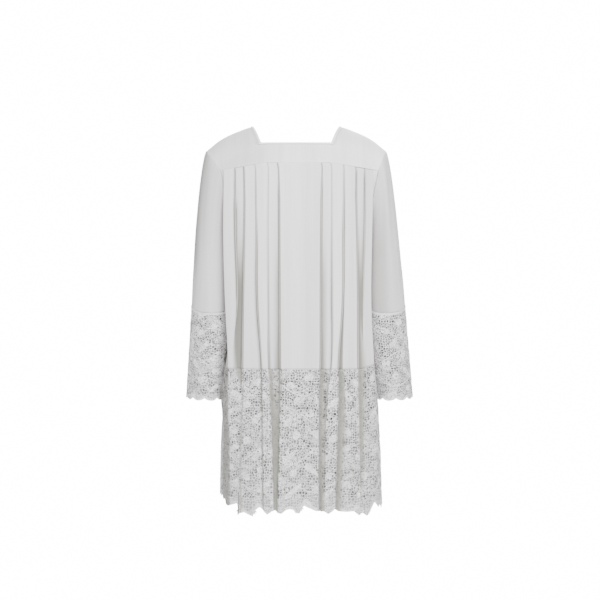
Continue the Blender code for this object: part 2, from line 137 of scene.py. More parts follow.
# Pleat folds across a panel, in millimetres from the middle, from the wearer's left to right. A fold
# is the edge of a flap: top is +1 where the cloth on its left lies over, -1 where that on its right
# does, and 0 at a soft bend with no flap. The tuck is how far back the layer under the flap lies,
# and soft is how far into the valley the fold's wall runs down, at the hip and at the hem. The fade
# is how far the shade reaches out from the foot of the wall, at the hip and at the hem.
FOLD_LEVELS = (BACK_SEAM_Z, -0.300, WAIST_Z, -0.640, -0.690, -0.810, LOWEST_Z)
TUCK_LEVELS = (BACK_SEAM_Z, -0.230, -0.640, LOWEST_Z)
SOFT_LEVELS = (BACK_SEAM_Z, -0.480, -0.640, LOWEST_Z)
TUCK_SLANT = 0.6
MOST_SLANT = 0.003
FLAP_ROUNDING = 0.0018
FACE_CROWN = 0.06
LEAST_FACE = 0.017
YOKE_TUCK = 0.9
# Painted shade at the folds' feet: full from this tuck, full for this run past the wall, climbing a
# wall at least this wide, and leaving this much of the flap's edge unpainted.
FULL_LINE_TUCK = 0.0036
FULL_SHADE_RUN = 0.0017
LEAST_WALL = 0.0015
LIGHT_EDGE = 0.0006
# Painted shade on the turns beside the arms: the crepe's on the wearer's left above and low down, and
# on the right; the lace's on the left and the right.
CREPE_SIDE_SHADE = (0.45, 0.60, 0.03)
LACE_SIDE_SHADE = (0.78, 0.15)
Fold = namedtuple(
    "Fold",
    "yoke chest waist hip lace thigh hem top tuck_chest tuck_hip tuck_hem soft_hip soft_hem"
    " fade_hip fade_hem",
)
BACK_FOLDS = (
    Fold(172, 167, 162, 174, 157, 158, 161, +1, 5, 10, 8, 16, 0, 26, 2),
    Fold(144, 145, 147, 150, 151, 156, 159, -1, 6, 13, 7, 0, 0, 38, 2),
    Fold(114, 112, 111, 98, 97, 95, 92, -1, 3, 7, 4, 2, 5, 4, 6),
    Fold(84, 84, 83, 80, 77, 73, 68, +1, 2, 4, 13, 0, 3, 1, 30),
    Fold(54, 53, 52, 51, 50, 52, 57, -1, 6, 10, 14, 0, 5, 22, 30),
    Fold(-57, -55, -54, -53, -50, -48, -46, +1, 6, 10, 12, 0, 6, 18, 22),
    Fold(-85, -84, -84, -82, -74, -68, -64, -1, 2, 4, 2, 2, 6, 2, 2),
    Fold(-114, -113, -112, -100, -101, -98, -91, +1, 4, 9, 13, 0, 0, 40, 16),
    Fold(-122, -121, -117, -114, -116, -121, -108, 0, 0, 0, 0, 0, 0, 0, 0),
    Fold(-145, -149, -151, -152, -153, -155, -156, +1, 7, 7, 0, 0, 0, 26, 1),
    Fold(-172, -168, -165, -166, -167, -168, -170, -1, 5, 0, 0, 0, 0, 1, 1),
)
FRONT_HALF_FOLDS = (
    Fold(173, 170, 168, 167, 166, 166, 166, +1, 5, 9, 8, 12, 9, 8, 4),
    Fold(144, 144, 145, 147, 148, 149, 150, -1, 6, 11, 9, 0, 0, 24, 6),
    Fold(114, 113, 112, 108, 107, 106, 104, -1, 4, 7, 9, 2, 4, 5, 8),
    Fold(84, 84, 83, 80, 78, 76, 74, +1, 3, 4, 12, 0, 6, 3, 24),
    Fold(54, 53, 52, 52, 52, 51, 50, -1, 6, 10, 15, 0, 0, 16, 24),
)

# How much painted shade the panels get from place to place, where the cloth lies a little away from
# the light: millimetres from the middle, and a share
PANEL_PAINTED_SHADES = {
    "back": (
        (-210, 0.26), (-172, 0.26), (-168, 0.17), (-118, 0.14), (-112, 0.06), (-60, 0.05),
        (-50, 0.13), (-10, 0.09), (8, 0.00), (90, 0.02), (112, 0.02), (120, 0.08), (145, 0.11),
        (160, 0.10), (200, 0.05),
    ),
    "front": (
        (-200, 0.14), (-60, 0.03), (-50, 0.08), (0, 0.02), (60, 0.02), (110, 0.09), (200, 0.14),
    ),
}

# Soft creases of the pleated panels, in millimetres across and metres down: where each one runs at
# its top and at its foot, how wide it is, and how far it stands out or sinks in
Crease = namedtuple("Crease", "x_top x_foot top foot width rise")
BACK_CREASES = (
    Crease(9, 10, -0.108, -0.330, 4.5, 0.45),
    Crease(1, -2, -0.106, -0.290, 3.5, -0.50),
    Crease(-15, -17, -0.108, -0.420, 4.5, 0.40),
    Crease(-23, -26, -0.107, -0.350, 3.2, -0.50),
    Crease(-38, -34, -0.106, -0.600, 8.0, -0.60),
    Crease(34, 30, -0.106, -0.520, 7.5, -0.45),
    Crease(46, 43, -0.110, -0.300, 3.5, 0.35),
    Crease(70, 69, -0.110, -0.440, 4.0, 0.35),
    Crease(99, 96, -0.106, -0.560, 5.0, -0.50),
    Crease(129, 131, -0.115, -0.400, 4.5, -0.40),
    Crease(-68, -69, -0.106, -0.260, 3.0, -0.45),
    Crease(-76, -77, -0.108, -0.340, 3.2, 0.35),
    Crease(-92, -90, -0.108, -0.310, 2.8, -0.40),
    Crease(-129, -132, -0.110, -0.470, 5.0, -0.45),
    Crease(-157, -160, -0.120, -0.380, 4.0, 0.40),
)
FRONT_CREASES = (
    Crease(6, 8, -0.172, -0.380, 4.5, 0.45),
    Crease(-5, -4, -0.172, -0.330, 3.5, -0.50),
    Crease(22, 20, -0.172, -0.480, 4.5, -0.45),
    Crease(-27, -30, -0.172, -0.420, 5.0, 0.40),
    Crease(-41, -38, -0.172, -0.610, 8.0, -0.55),
    Crease(39, 36, -0.172, -0.560, 7.5, -0.45),
    Crease(71, 69, -0.172, -0.380, 4.0, 0.40),
    Crease(98, 95, -0.172, -0.590, 5.0, -0.50),
    Crease(-69, -70, -0.172, -0.350, 3.5, -0.45),
    Crease(-99, -97, -0.172, -0.530, 5.0, -0.50),
    Crease(129, 132, -0.172, -0.430, 4.5, -0.40),
    Crease(-130, -133, -0.172, -0.500, 4.5, -0.45),
)

# Creases of a sleeve: degrees round it, 0 outside, 90 behind and 180 inside, at the top and the
# foot, shares of its length, a width in degrees, and millimetres of rise
SLEEVE_CREASES = (
    Crease(70, 78, 0.05, 0.95, 9.0, 1.3),
    Crease(48, 60, 0.10, 1.15, 8.0, -1.1),
    Crease(98, 92, 0.55, 2.0, 10.0, -0.8),
    Crease(72, 58, 1.05, 2.0, 10.0, 0.9),
    Crease(24, 30, 0.70, 1.9, 9.0, -1.1),
    Crease(-28, -24, 0.20, 1.3, 9.0, 1.2),
    Crease(-55, -66, 0.08, 1.0, 8.0, -1.2),
    Crease(-84, -92, 0.40, 1.9, 10.0, 1.0),
    Crease(-112, -104, 0.75, 2.0, 9.0, -1.0),
    Crease(170, 176, 0.60, 1.9, 12.0, -1.6),
    Crease(-8, 4, 0.90, 2.0, 8.0, 0.9),
)
CREASE_FADE = 0.30


def mirrored_folds(folds):
    """The same folds on the other side of the middle, in the order of the section."""
    return tuple(Fold(*(-x for x in fold[:8]), *fold[8:]) for fold in reversed(folds))


# How far the sides of the body swell out beside the hips, in millimetres
SWELL_LEVELS = (-0.500, -0.600, -0.670, -0.725, -0.790, -0.880, LOWEST_Z)
LEFT_SWELL = (0, 2, 9, 9, -3, -5, -5)
RIGHT_SWELL = (0, 0, 2, 5, 4, 5, 7)

# What differs between the back and the front: the squared neckline and the yoke's lower seam, with
# its middle and its end beside the arm
Side = namedtuple("Side", "name way neck_half neck_y neck_z seam_z corner_z folds creases")
BACK = Side(
    "back", 1, 0.092, 0.095, -0.048, BACK_SEAM_Z, -0.120, BACK_FOLDS, BACK_CREASES
)
FRONT = Side(
    "front", -1, 0.088, 0.098, -0.108, -0.170, -0.166,
    FRONT_HALF_FOLDS + mirrored_folds(FRONT_HALF_FOLDS), FRONT_CREASES,
)

# Rings of a sleeve below the armhole: the middle, half its width and depth, and how much lower its
# back and its inner side hang. Shares of the sleeve's length are 1, 2 and 3 at these rings.
Ring = namedtuple("Ring", "x y z half_width half_depth back_drop inner_drop")
SLEEVE_RINGS = (
    Ring(0.2305, -0.004, -0.345, 0.0475, 0.085, 0.004, 0.022),
    Ring(0.2355, -0.012, -0.4775, 0.0525, 0.087, 0.020, 0.000),
    Ring(0.2560, -0.026, -0.712, 0.0495, 0.094, 0.003, 0.002),
)
RING_SHARES = (1.0, 2.0, 3.0)
CUFF_OVERSHOOT = 0.08
CUFF_STITCH_SHARES = (1.985, 2.035)
HEAD_START = (0.040, 0.010, -0.035)
SLEEVE_WAVE = 0.03
INNER_CORNER = 0.64
HANDS = (("left", 1), ("right", -1))

# How finely the sheets are divided
ARM_COLUMNS = 30
YOKE_SEAM_COLUMNS = 42
YOKE_ROWS = 26
ARM_ROWS = 46
ROW_STEP = 0.0042
FACE_STEP = 0.0021
SIDE_TURN_COLUMNS = 14
LACE_TURN_COLUMNS = 26
SLEEVE_COLUMNS = 104
HEAD_ROWS = 54
SLEEVE_ROW_STEP = 0.0042
LACE_STEP = 0.0030
CUFF_COLUMNS = 150

# One metre at the garment's middle, in pixels, and the width of the picture
PIXELS_PER_METRE = 372.0
PICTURE_PIXELS = 600.0

# The lace bands' lower edge: millimetres along the band, and millimetres below the notch level. It
# starts again after the last point.
EdgePoint = namedtuple("EdgePoint", "along drop")
HEM_EDGES = {
    "back": tuple(EdgePoint(*point) for point in (
        (0, -17), (13, -7), (26, -17), (39, -8), (54, -15), (69, -3), (88, -7), (107, 8),
        (125, 7), (146, 2), (160, -2), (167, 31),
        (203, 20), (226, 30), (230, 15), (241, 5), (245, 6), (264, 23), (276, 14), (293, 13),
        (326, 20), (338, 10), (347, 7), (358, 9), (363, 17), (373, 18), (378, 5), (384, -2),
        (400, 6), (413, 12), (428, 14), (451, 14), (461, 21), (471, 16), (482, 6), (502, 15),
        (525, 17), (539, 16), (552, 28), (563, 22), (578, 31), (592, 8), (599, -4), (617, 12),
        (634, 6), (650, 18), (664, 4), (680, 12), (695, -4), (710, 4), (726, -12), (741, -5),
        (800, -17),
    )),
    "front": tuple(EdgePoint(*point) for point in (
        (0, 0), (11, 13), (23, 23), (32, 17), (42, 12), (52, 18), (62, 24), (74, 12), (84, 0),
    )),
}
HEM_NOTCH_Z = -0.9955
HEM_SIDE_RISE = 38
HEM_SIDE_RUN = 0.13
CUFF_SCALLOPS = 12
CUFF_SCALLOP_DROP = 0.008

# Vines of the floral pattern: depth below the seam, sway, where the wave starts as a share of the
# repeat, the distance between leaves, the length of a leaf and the radius of a flower
Vine = namedtuple("Vine", "depth sway start leaf_step leaf flower")
HEM_VINES = (
    Vine(0.052, 0.018, 0.00, 0.0125, 0.019, 0.0185),
    Vine(0.136, 0.022, 0.37, 0.0130, 0.021, 0.0205),
    Vine(0.226, 0.022, 0.80, 0.0130, 0.021, 0.0215),
    Vine(0.306, 0.014, 0.22, 0.0125, 0.018, 0.0170),
)
CUFF_VINES = (
    Vine(0.048, 0.018, 0.10, 0.0125, 0.018, 0.0180),
    Vine(0.122, 0.020, 0.55, 0.0125, 0.019, 0.0190),
    Vine(0.190, 0.012, 0.90, 0.0120, 0.016, 0.0150),
)
VINE_REPEAT = 0.168
PETALS = 6
SEED = 23
VINE_STEP = 0.004
LEAFLET_STEP = 0.0068
SPRIG_STEP = 0.0146
DEEPEST_SPRIG = 0.40
EYELET_REACH = 0.0096

# Cords and points of the lace's edges, and the rims round its gaps
CORD_WIDTH = 0.0022
CORD_STEP = 0.004
EDGE_CORD_UP = 0.0009
TOP_CORD = 0.0024
TOP_CORD_RISE = 0.0009
HEM_POINT = 0.016
CUFF_POINT = 0.013
RIM_RISE = 0.0007
RAISED_OVER_NET = 0.00025

# Gaps of the lace stay this many rows off its lower edge, this near the middle of the hem, and in
# the light. They are cut through where the lace lies behind this depth.
GAP_MARGIN_ROWS = 15
HEM_GAP_REACH = 0.185
GAP_MOST_SHADE = 0.3
GAPS_BEHIND_Y = -0.012

# Where the lace's ground is an open web: how far off raised work, the lower edge and a band's end
# this begins, and the fold shade at which it stops, each with the run to its full strength
OPEN_OFF_WORK = (0.0008, 0.0015)
OPEN_OFF_EDGE = (0.006, 0.004)
OPEN_OFF_END = (0.003, 0.002)
OPEN_TO_SHADE = (0.80, 0.15)

# Satin stitch at a flat place this far aside has no vein
UNVEINED = 0.05

# How closed in a fold is where its shade begins and where it is full, and how many columns away
# its walls are looked for
OPEN_FOLD = 0.18
CLOSED_FOLD = 0.58
CREPE_REACH = 12
LACE_REACH = 9


def colour_setting(name, description, default):
    return bpy.props.FloatVectorProperty(
        name=name, description=description, default=default, subtype="COLOR", size=3,
        min=0.0, max=1.0,
    )


def length_setting(name, description, default):
    return bpy.props.FloatProperty(
        name=name, description=description, default=default, unit="LENGTH",
    )


def number_setting(name, description, default):
    return bpy.props.FloatProperty(
        name=name, description=description, default=default, min=0.0,
    )


class ClothSettings(bpy.types.PropertyGroup):
    """Plain crepe of the yokes, the body and the sleeves."""

    colour: colour_setting("Colour", "Base colour of the crepe", (0.753, 0.729, 0.752))
    shade: colour_setting("Shade", "Colour between the threads", (0.657, 0.636, 0.648))
    # The fold colour is painted shade: the crepe is mixed towards it by each point's fold_shade.
    fold_shade_colour: colour_setting("Fold colour", "Colour deep between the folds", (0.205, 0.203, 0.180))
    thickness: length_setting("Thickness", "Thickness of the crepe", 0.0005)
    thread: length_setting("Thread spacing", "Distance between the threads of the weave", 0.0006)
    crease: number_setting("Crease depth", "How strongly the soft creases show", 1.0)


class LaceSettings(bpy.types.PropertyGroup):
    """Floral lace of the hem and the cuffs."""

    colour: colour_setting("Colour", "Base colour of the lace's threads", (0.968, 0.936, 0.968))
    # The inside colour is painted shade: on the lace's inner face, and in its dark flecks.
    inside: colour_setting(
        "Inside colour", "Colour of the lace's shaded inner face", (0.170, 0.167, 0.158)
    )
    # The fold colour is painted shade: the lace is mixed towards it by each point's fold_shade.
    fold_shade_colour: colour_setting("Fold colour", "Colour deep between the folds", (0.275, 0.272, 0.240))
    # The groove colour is painted shade, in the satin's veins and towards the edges of the net's
    # threads.
    groove_shade: colour_setting(
        "Groove colour", "Colour of the veins and between the threads", (0.360, 0.356, 0.342)
    )
    net_cell: length_setting("Net cell", "Width of one cell of the net ground", 0.0021)
    open_cell: length_setting("Open cell", "Width of the cells where the net is open", 0.0070)
    petal_rise: length_setting("Petal rise", "How far petals and leaves stand off the net", 0.0009)
    gap_radius: length_setting("Gap radius", "Radius of the gaps cut through the lace", 0.0032)


class SewingSettings(bpy.types.PropertyGroup):
    """Bindings, braid and stitches."""

    colour: colour_setting("Colour", "Colour of bindings, braid and thread", (0.930, 0.930, 0.930))
    stitch_length: length_setting("Stitch length", "Length of one stitch", 0.0026)
    stitch_width: length_setting("Stitch width", "Width of the sewing thread", 0.0005)
    braid_rise: length_setting("Braid rise", "How far the cuff braid stands out", 0.0012)
    binding_rise: length_setting("Binding rise", "How far the neck binding stands out", 0.0015)


class StageSettings(bpy.types.PropertyGroup):
    """Floor, light and camera."""

    floor_colour: colour_setting("Floor colour", "Colour of the plain floor", (0.47, 0.47, 0.47))
    floor_z: length_setting("Floor height", "Height of the floor below the neck", -1.60)
    camera_distance: length_setting(
        "Camera distance", "Distance of the camera from the garment's middle", 4.2
    )
    camera_z: length_setting("Camera height", "Height of the camera", -0.462)
    key_power: number_setting("Key light", "Power of each main light, in watts", 352.0)
    fill_power: number_setting("Fill light", "Power of each lesser light, in watts", 64.0)
    sky: number_setting("Surrounding light", "Strength of the light from all round", 0.60)
    backdrop: number_setting(
        "Backdrop", "Brightness of the white that the camera sees behind all", 16.0
    )


# Curves and small helpers


def lerp(a, b, t):
    return a + (b - a) * t


def clamp(x):
    return np.clip(x, 0.0, 1.0)


def ramp(x):
    """A soft step from 0 at x = 0 to 1 at x = 1."""
    x = clamp(x)
    return x * x * (3 - 2 * x)


def past(x, start, run):
    """How far x is past the start of a soft step, which ends after the run. A run below 0 goes the
    other way."""
    return ramp((x - start) / run)


def hermite(start, start_slope, end, end_slope, t):
    return (
        (2 * t**3 - 3 * t**2 + 1) * start
        + (t**3 - 2 * t**2 + t) * start_slope
        + (3 * t**2 - 2 * t**3) * end
        + (t**3 - t**2) * end_slope
    )


def along(xs, ys, x):
    """A smooth curve through the points (xs, ys), read at x. The xs rise or fall steadily."""
    xs, ys = np.array(xs, float), np.array(ys, float)
    if xs[0] > xs[-1]:
        xs, ys = xs[::-1], ys[::-1]
    slopes = np.diff(ys) / np.diff(xs)
    knots = (np.append(slopes[:1], slopes) + np.append(slopes, slopes[-1:])) / 2
    x = np.clip(x, xs[0], xs[-1])
    i = np.clip(np.searchsorted(xs, x) - 1, 0, len(slopes) - 1)
    step = xs[i + 1] - xs[i]
    return hermite(ys[i], knots[i] * step, ys[i + 1], knots[i + 1] * step, (x - xs[i]) / step)


def unit(vectors):
    return vectors / np.maximum(np.linalg.norm(vectors, axis=-1, keepdims=True), 1e-9)


def steps(points, axis):
    """The distance from each point to the next one along an axis of the array."""
    return np.linalg.norm(np.diff(points, axis=axis), axis=-1)


def running(distances):
    """How far each point lies along its line, from 0 at the first."""
    return np.append(0.0, np.cumsum(distances))


def joined(grid, closed):
    """The grid, with its first column again after the last where it closes to a tube."""
    return np.concatenate([grid, grid[:, :1]], axis=1) if closed else grid


def softened(rows):
    """Each value halfway between its own and the mean of its neighbours in the row."""
    return (np.roll(rows, 1, axis=1) + 2 * rows + np.roll(rows, -1, axis=1)) / 4


def section_value(field, z):
    return along([s.z for s in SECTIONS], [getattr(s, field) for s in SECTIONS], z)


def lean(z):
    return LEAN * past(z, LEAN_FROM_Z, LEAN_RISE)


def crease_rise(creases, across, down, fade):
    """How far the creases lift the cloth, in metres. Across is in the table's own unit."""
    rise = np.zeros(np.broadcast(across, down).shape)
    for c in creases:
        share = (down - c.top) / (c.foot - c.top)
        strength = ramp(share / fade) * ramp((1 - share) / fade)
        offset = (across - lerp(c.x_top, c.x_foot, clamp(share))) / c.width
        rise += c.rise * MM * strength * np.exp(-(offset**2))
    return rise


# The shoulder form and the yoke


def panel_y(side, x, z):
    """Depth of the panel in front of or behind the middle, a shallow bow across its width."""
    middle = section_value(f"{side.name}_y", z)
    corner = section_value(f"corner_{side.name}_y", z)
    half = np.where(x > 0, section_value("left_x", z), section_value("right_x", z))
    return lerp(middle, corner, (abs(x) / half) ** PANEL_BOW)


def seam_z(side, x):
    """Height of the yoke's lower seam, which drops towards the arms."""
    share = clamp((abs(x) - SEAM_BEND_X) / (YOKE_CORNER_HALF - SEAM_BEND_X))
    return lerp(side.seam_z, side.corner_z, share)


def shoulder_z(side, x, y):
    """Height of the shoulder form: an arch from the ridge down to the yoke seam."""
    ridge = along([p.x for p in RIDGE], [p.z for p in RIDGE], abs(x))
    share = np.minimum(abs(y) / panel_y(side, x, side.seam_z), 1.3)
    return lerp(ridge, seam_z(side, x), share**SHOULDER_ARCH)


def armhole(side, angle):
    """Points of the left armhole, at 0 degrees on top of the shoulder, 90 at the yoke's corner and
    180 under the arm."""
    turn = np.radians(angle)
    above = angle <= 90
    down = np.where(above, 1 - np.cos(turn), -np.cos(turn))
    x = np.where(
        above,
        lerp(SHOULDER_HALF, YOKE_CORNER_HALF, down),
        lerp(YOKE_CORNER_HALF, UNDERARM_HALF, down),
    )
    z = np.where(
        above, lerp(SHOULDER_Z, side.corner_z, down), lerp(side.corner_z, UNDERARM_Z, down)
    )
    corner_y = panel_y(side, YOKE_CORNER_HALF, side.seam_z)
    return np.stack([x, side.way * corner_y * np.sin(turn), z], axis=-1)


def neck_point(side, share, grow):
    """The left half of the neck edge, or of its outline grown outwards: the slanted side from share
    0 to 1, then the straight edge to its middle at 2."""
    slanted = np.minimum(share, 1.0)
    x = lerp(NECK_HALF, side.neck_half, slanted)
    y = side.way * side.neck_y * slanted
    z = lerp(NECK_SIDE_Z, side.neck_z, slanted**NECK_CURVE)
    x = np.where(share > 1, x * (2 - share), x)
    rise = z - shoulder_z(side, x, y)
    x = x + grow * np.where(share > 1, x / side.neck_half, 1.0)
    y = y + side.way * grow * BINDING_SLOPE_SHARE * slanted
    return np.stack([x, y, shoulder_z(side, x, y) + rise], axis=-1)


def with_right_half(points):
    """Points from the wearer's left to the middle, and their mirror on the right."""
    return np.concatenate([points, (points[:-1] * (-1, 1, 1))[::-1]])


def yoke_columns(side, grow):
    """Matching points of the neck outline and the yoke's outer edge, from the wearer's left
    shoulder to the right one."""
    angles = np.linspace(0, 90, ARM_COLUMNS + 1)
    x = np.linspace(YOKE_CORNER_HALF, 0, YOKE_SEAM_COLUMNS + 1)[1:]
    neck = np.concatenate(
        [neck_point(side, angles / 90, grow), neck_point(side, 2 - x / YOKE_CORNER_HALF, grow)]
    )
    seam = np.stack([x, side.way * panel_y(side, x, side.seam_z), seam_z(side, x)], axis=-1)
    outer = np.concatenate([armhole(side, angles), seam])
    return with_right_half(neck), with_right_half(outer)


def yoke_grid(side, neck_grow):
    """The yoke from under the neck binding to its outer edge, then a narrow lap over the pleats."""
    neck, outer = yoke_columns(side, neck_grow)
    neck_rise = neck[:, 2] - shoulder_z(side, neck[:, 0], neck[:, 1])
    outer_rise = outer[:, 2] - shoulder_z(side, outer[:, 0], outer[:, 1])
    rows = []
    for share in np.linspace(0, 1, YOKE_ROWS + 1):
        x, y = lerp(neck[:, 0], outer[:, 0], share), lerp(neck[:, 1], outer[:, 1], share)
        z = shoulder_z(side, x, y) + lerp(neck_rise, outer_rise, share)
        rows.append(np.stack([x + lean(z), y, z], axis=-1))
    grid = np.array(rows)
    grid[:, (0, -1), 1] += side.way * SEAM_GAP / 2
    on_seam = (abs(outer[:, 0]) < YOKE_CORNER_HALF)[:, None]
    lap = np.where(on_seam, (0, side.way * SEAM_LAP[0], -SEAM_LAP[1]), (0, 0, -ARM_LAP[1]))
    lap[:, 0] += np.where(on_seam[:, 0], 0, np.sign(outer[:, 0]) * ARM_LAP[0])
    edge = grid[-1] + lap
    lip = edge + (0, -side.way * SEAM_LIP[0], -SEAM_LIP[1]) * on_seam
    grid = np.concatenate([grid, [grid[-1] + lap / 2, edge, lip]])
    return grid if side.way > 0 else grid[:, ::-1]


def yoke_shade(grid):
    """Painted shade on a yoke: a little on the wearer's left, and a painted shadow line in the groove
    beside the binding.
    """
    shade = 0.30 * past(grid[:, :, 0], 0.02, 0.12)
    groove_shade = np.zeros(grid.shape[0])
    groove_shade[:3] = 0.34, 0.34, 0.10
    return 1 - (1 - shade) * (1 - groove_shade[:, None])


def binding_grid(rise):
    """The binding round the whole neck: a flat strip folded over the edge, a little raised."""
    rows = []
    shares = np.linspace(-0.05, 1.06, 9)
    for share in shares:
        row = []
        for side in (BACK, FRONT):
            points, _ = yoke_columns(side, BINDING_WIDTH * share)
            points[:, 0] += lean(points[:, 2])
            row.append(points if side.way > 0 else points[-2:0:-1])
        rows.append(np.concatenate(row))
    grid = np.array(rows)
    profile = rise * np.sqrt(clamp(1 - ((shares - 0.5) / 0.57) ** 4))
    return grid + outward(grid, True) * profile[:, None, None]


# The pleated body


def fold_state(fold, z):
    """A fold at a height: where it lies, how far back the layer under it is, how far its wall runs
    into the valley, and the lean of a wall that turns back under its flap."""
    x = float(along(FOLD_LEVELS, fold[:7], z)) * MM - FLAP_ROUNDING * (fold.top > 0)
    tucks = (YOKE_TUCK, fold.tuck_chest, fold.tuck_hip, fold.tuck_hem)
    tuck = float(along(TUCK_LEVELS, tucks, z)) * MM
    soft = float(along(SOFT_LEVELS, (0, 0, fold.soft_hip, fold.soft_hem), z)) * MM
    return x, tuck, soft, min(MOST_SLANT, TUCK_SLANT * tuck)


def fold_marks(fold, z):
    """A fold's points at a height, as (x, how far back the cloth lies)."""
    x, tuck, soft, slant = fold_state(fold, z)
    edge = (x, 0.0)
    under = (x + fold.top * (slant - soft), tuck)
    if fold.top == 0:
        return [edge]
    return [edge, under] if fold.top > 0 else [under, edge]


def panel_lines(side, z, across, depth):
    """Painted shade beside the panel's folds: full at the foot of each wall, and fading over the floor
    between the walls, at most as far as the next fold. The edge of the flap itself stays light."""
    lines = np.zeros(len(across))
    for number, fold in enumerate(side.folds):
        if fold.top == 0:
            continue
        x, tuck, soft, slant = fold_state(fold, z)
        deepest = max(tuck, fold.tuck_chest * MM * (z > UNDERARM_Z))
        strength = min(deepest / FULL_LINE_TUCK, 1.0)
        fades = (1, 3, max(fold.fade_hip, 1), max(fold.fade_hem, 1))
        fade = float(np.interp(-z, -np.array(SOFT_LEVELS), fades)) * MM
        away = (x - across) * fold.top + slant - soft
        reach = max(slant - soft, 0.0) + FULL_SHADE_RUN
        floor = 1 - ramp((away - reach) / fade)
        wall = ramp(1 + away / max(soft, LEAST_WALL))
        shade = strength * np.where(away > 0, floor, wall)
        shade = shade * ((abs(across - x) > LIGHT_EDGE) | (depth > 0.4 * tuck))
        if 0 <= number + fold.top < len(side.folds):
            other = side.folds[number + fold.top]
            other_x, other_tuck, _, _ = fold_state(other, z)
            if other.top == 0 or other_tuck > MM:
                shade = shade * ((across - other_x) * fold.top > 0)
        lines = np.maximum(lines, shade)
    return lines


def panel_marks(side, z):
    """The panel's corners and all its folds at a height."""
    marks = [(float(section_value("left_x", z)), 0.0)]
    for fold in side.folds:
        marks += fold_marks(fold, z)
    return np.array(marks + [(-float(section_value("right_x", z)), 0.0)])


def arm_share(side, z):
    """How far down the armhole a row lies: 0 at the yoke seam and 1 under the arm."""
    return clamp((side.seam_z - z) / (side.seam_z - UNDERARM_Z))


def row_height(side, x, z):
    """Height of a row at x. The upper rows follow the yoke seam, and the lower ones the lace seam,
    which rises towards the right side."""
    lift = HIP_LIFT * clamp((HIP_LIFT_FROM_X - x) / HIP_LIFT_RUN)
    if z > HIP_Z:
        near_hip = ramp((WAIST_Z - z) / (WAIST_Z - HIP_Z))
    else:
        near_hip = ramp((z - HEM_Z) / (HIP_Z - HEM_Z))
    return z + (1 - arm_share(side, z)) * (seam_z(side, x) - side.seam_z) + near_hip * lift


def side_turn(side, z, hand, columns):
    """The turn from the side seam, or the armhole, to the panel's corner, which swells a little
    beside the hips. The hand is 1 on the wearer's left and -1 on the right."""
    half = float(section_value("left_x" if hand > 0 else "right_x", z))
    corner = np.array(
        (half, float(panel_y(side, hand * half, z)), float(row_height(side, hand * half, z)))
    )
    share = float(arm_share(side, z))
    if share < 1:
        seam = armhole(side, 90 + math.degrees(math.asin(share)))
        seam[1] = abs(seam[1])
    else:
        seam = np.array((float(section_value("side_x", z)), SEAM_GAP / 2, corner[2]))
    bend = (seam + corner) / 2
    bend[0] = lerp(bend[0], float(section_value("bend_x", z)), share)
    t = np.linspace(0, 1, columns + 1)[:-1, None]
    points = (1 - t) ** 2 * seam + 2 * t * (1 - t) * bend + t**2 * corner
    swell = along(SWELL_LEVELS, LEFT_SWELL if hand > 0 else RIGHT_SWELL, z) * MM
    points[:, 0] += swell * ((t * (1 - t)) ** 1.5)[:, 0] * 8
    return points * (hand, side.way, 1)


def stretch_shares(side, z, step, gathered):
    """Where the points of each stretch between two marks lie, as shares of its width. Gathered
    points lie closer together near the folds."""
    marks = panel_marks(side, z)
    shares = []
    for width in np.linalg.norm(np.diff(marks, axis=0), axis=1):
        even = np.linspace(0, 1, max(round(width / step), 3) + 1)[:-1]
        shares.append((1 - np.cos(math.pi * even)) / 2 if gathered else even)
    return shares


def crepe_side_shades(z):
    """Painted shade on the turns beside the arms at a height, on the wearer's left and right."""
    above, low, right = CREPE_SIDE_SHADE
    return lerp(above, low, past(z, UNDERARM_Z, -0.26)), right


def panel_row(side, z, shares, turn_columns, side_shades, crease):
    """One row of the body from side seam to side seam, with crowned faces between the folds. Returns
    its points and its painted shade: the lines of its folds, the panel shade and the turns beside the
    arms."""
    marks = panel_marks(side, z)
    crown = FACE_CROWN * ramp((side.seam_z - z) / (side.seam_z - HEM_Z))
    flat = []
    for t, a, b in zip(shares, marks, marks[1:]):
        face = abs(b[0] - a[0]) > LEAST_FACE
        rise = crown * abs(b[0] - a[0]) * 4 * t * (1 - t) * face
        back = lerp(a[1], b[1], t if face else ramp(t))
        flat.append(np.stack([lerp(a[0], b[0], t), back - rise], axis=-1))
    x, tuck = np.concatenate(flat + [marks[-1:]]).T
    lines = panel_lines(side, z, x, tuck)
    tuck = tuck - crease * crease_rise(side.creases, x / MM, z, CREASE_FADE)
    y = side.way * (panel_y(side, x, z) - tuck)
    middle = np.stack([x, y, row_height(side, x, z)], axis=-1)
    left = side_turn(side, z, 1, turn_columns)
    right = side_turn(side, z, -1, turn_columns)[::-1]
    row = np.concatenate([left, middle, right])
    row[:, 0] += lean(row[:, 2])
    # Painted shade over the panels, laid over the folds' painted lines.
    panel_shade = np.interp(x / MM, *zip(*PANEL_PAINTED_SHADES[side.name]))
    lines = 1 - (1 - lines) * (1 - panel_shade)
    # Painted shade on the turns, growing from the side seam towards the panel's corner.
    turn = ramp(np.arange(turn_columns) / turn_columns * 3 - 0.5)
    lines = np.concatenate([turn * side_shades[0], lines, (turn * side_shades[1])[::-1]])
    return (row, lines) if side.way > 0 else (row[::-1], lines[::-1])


def rounded(grid):
    """The same grid with its sharp folds rounded across the section."""
    soft = softened(grid)
    soft[:, (0, -1)] = grid[:, (0, -1)]
    return soft


def body_grid(side, crease):
    """The pleated body, and its painted shade."""
    shares = stretch_shares(side, WAIST_Z, FACE_STEP, True)
    drops = np.sin(np.radians(np.linspace(0, 90, ARM_ROWS + 1)))
    below = np.arange(UNDERARM_Z - ROW_STEP, HIP_Z + ROW_STEP / 2, -ROW_STEP)
    rows = [
        panel_row(side, z, shares, SIDE_TURN_COLUMNS, crepe_side_shades(z), crease)
        for z in (*lerp(side.seam_z, UNDERARM_Z, drops), *below, HIP_Z)
    ]
    grid, lines = (np.array(part) for part in zip(*rows))
    grid = rounded(grid)
    return grid, whole_shade(grid, lines, CREPE_REACH, SIDE_TURN_COLUMNS)


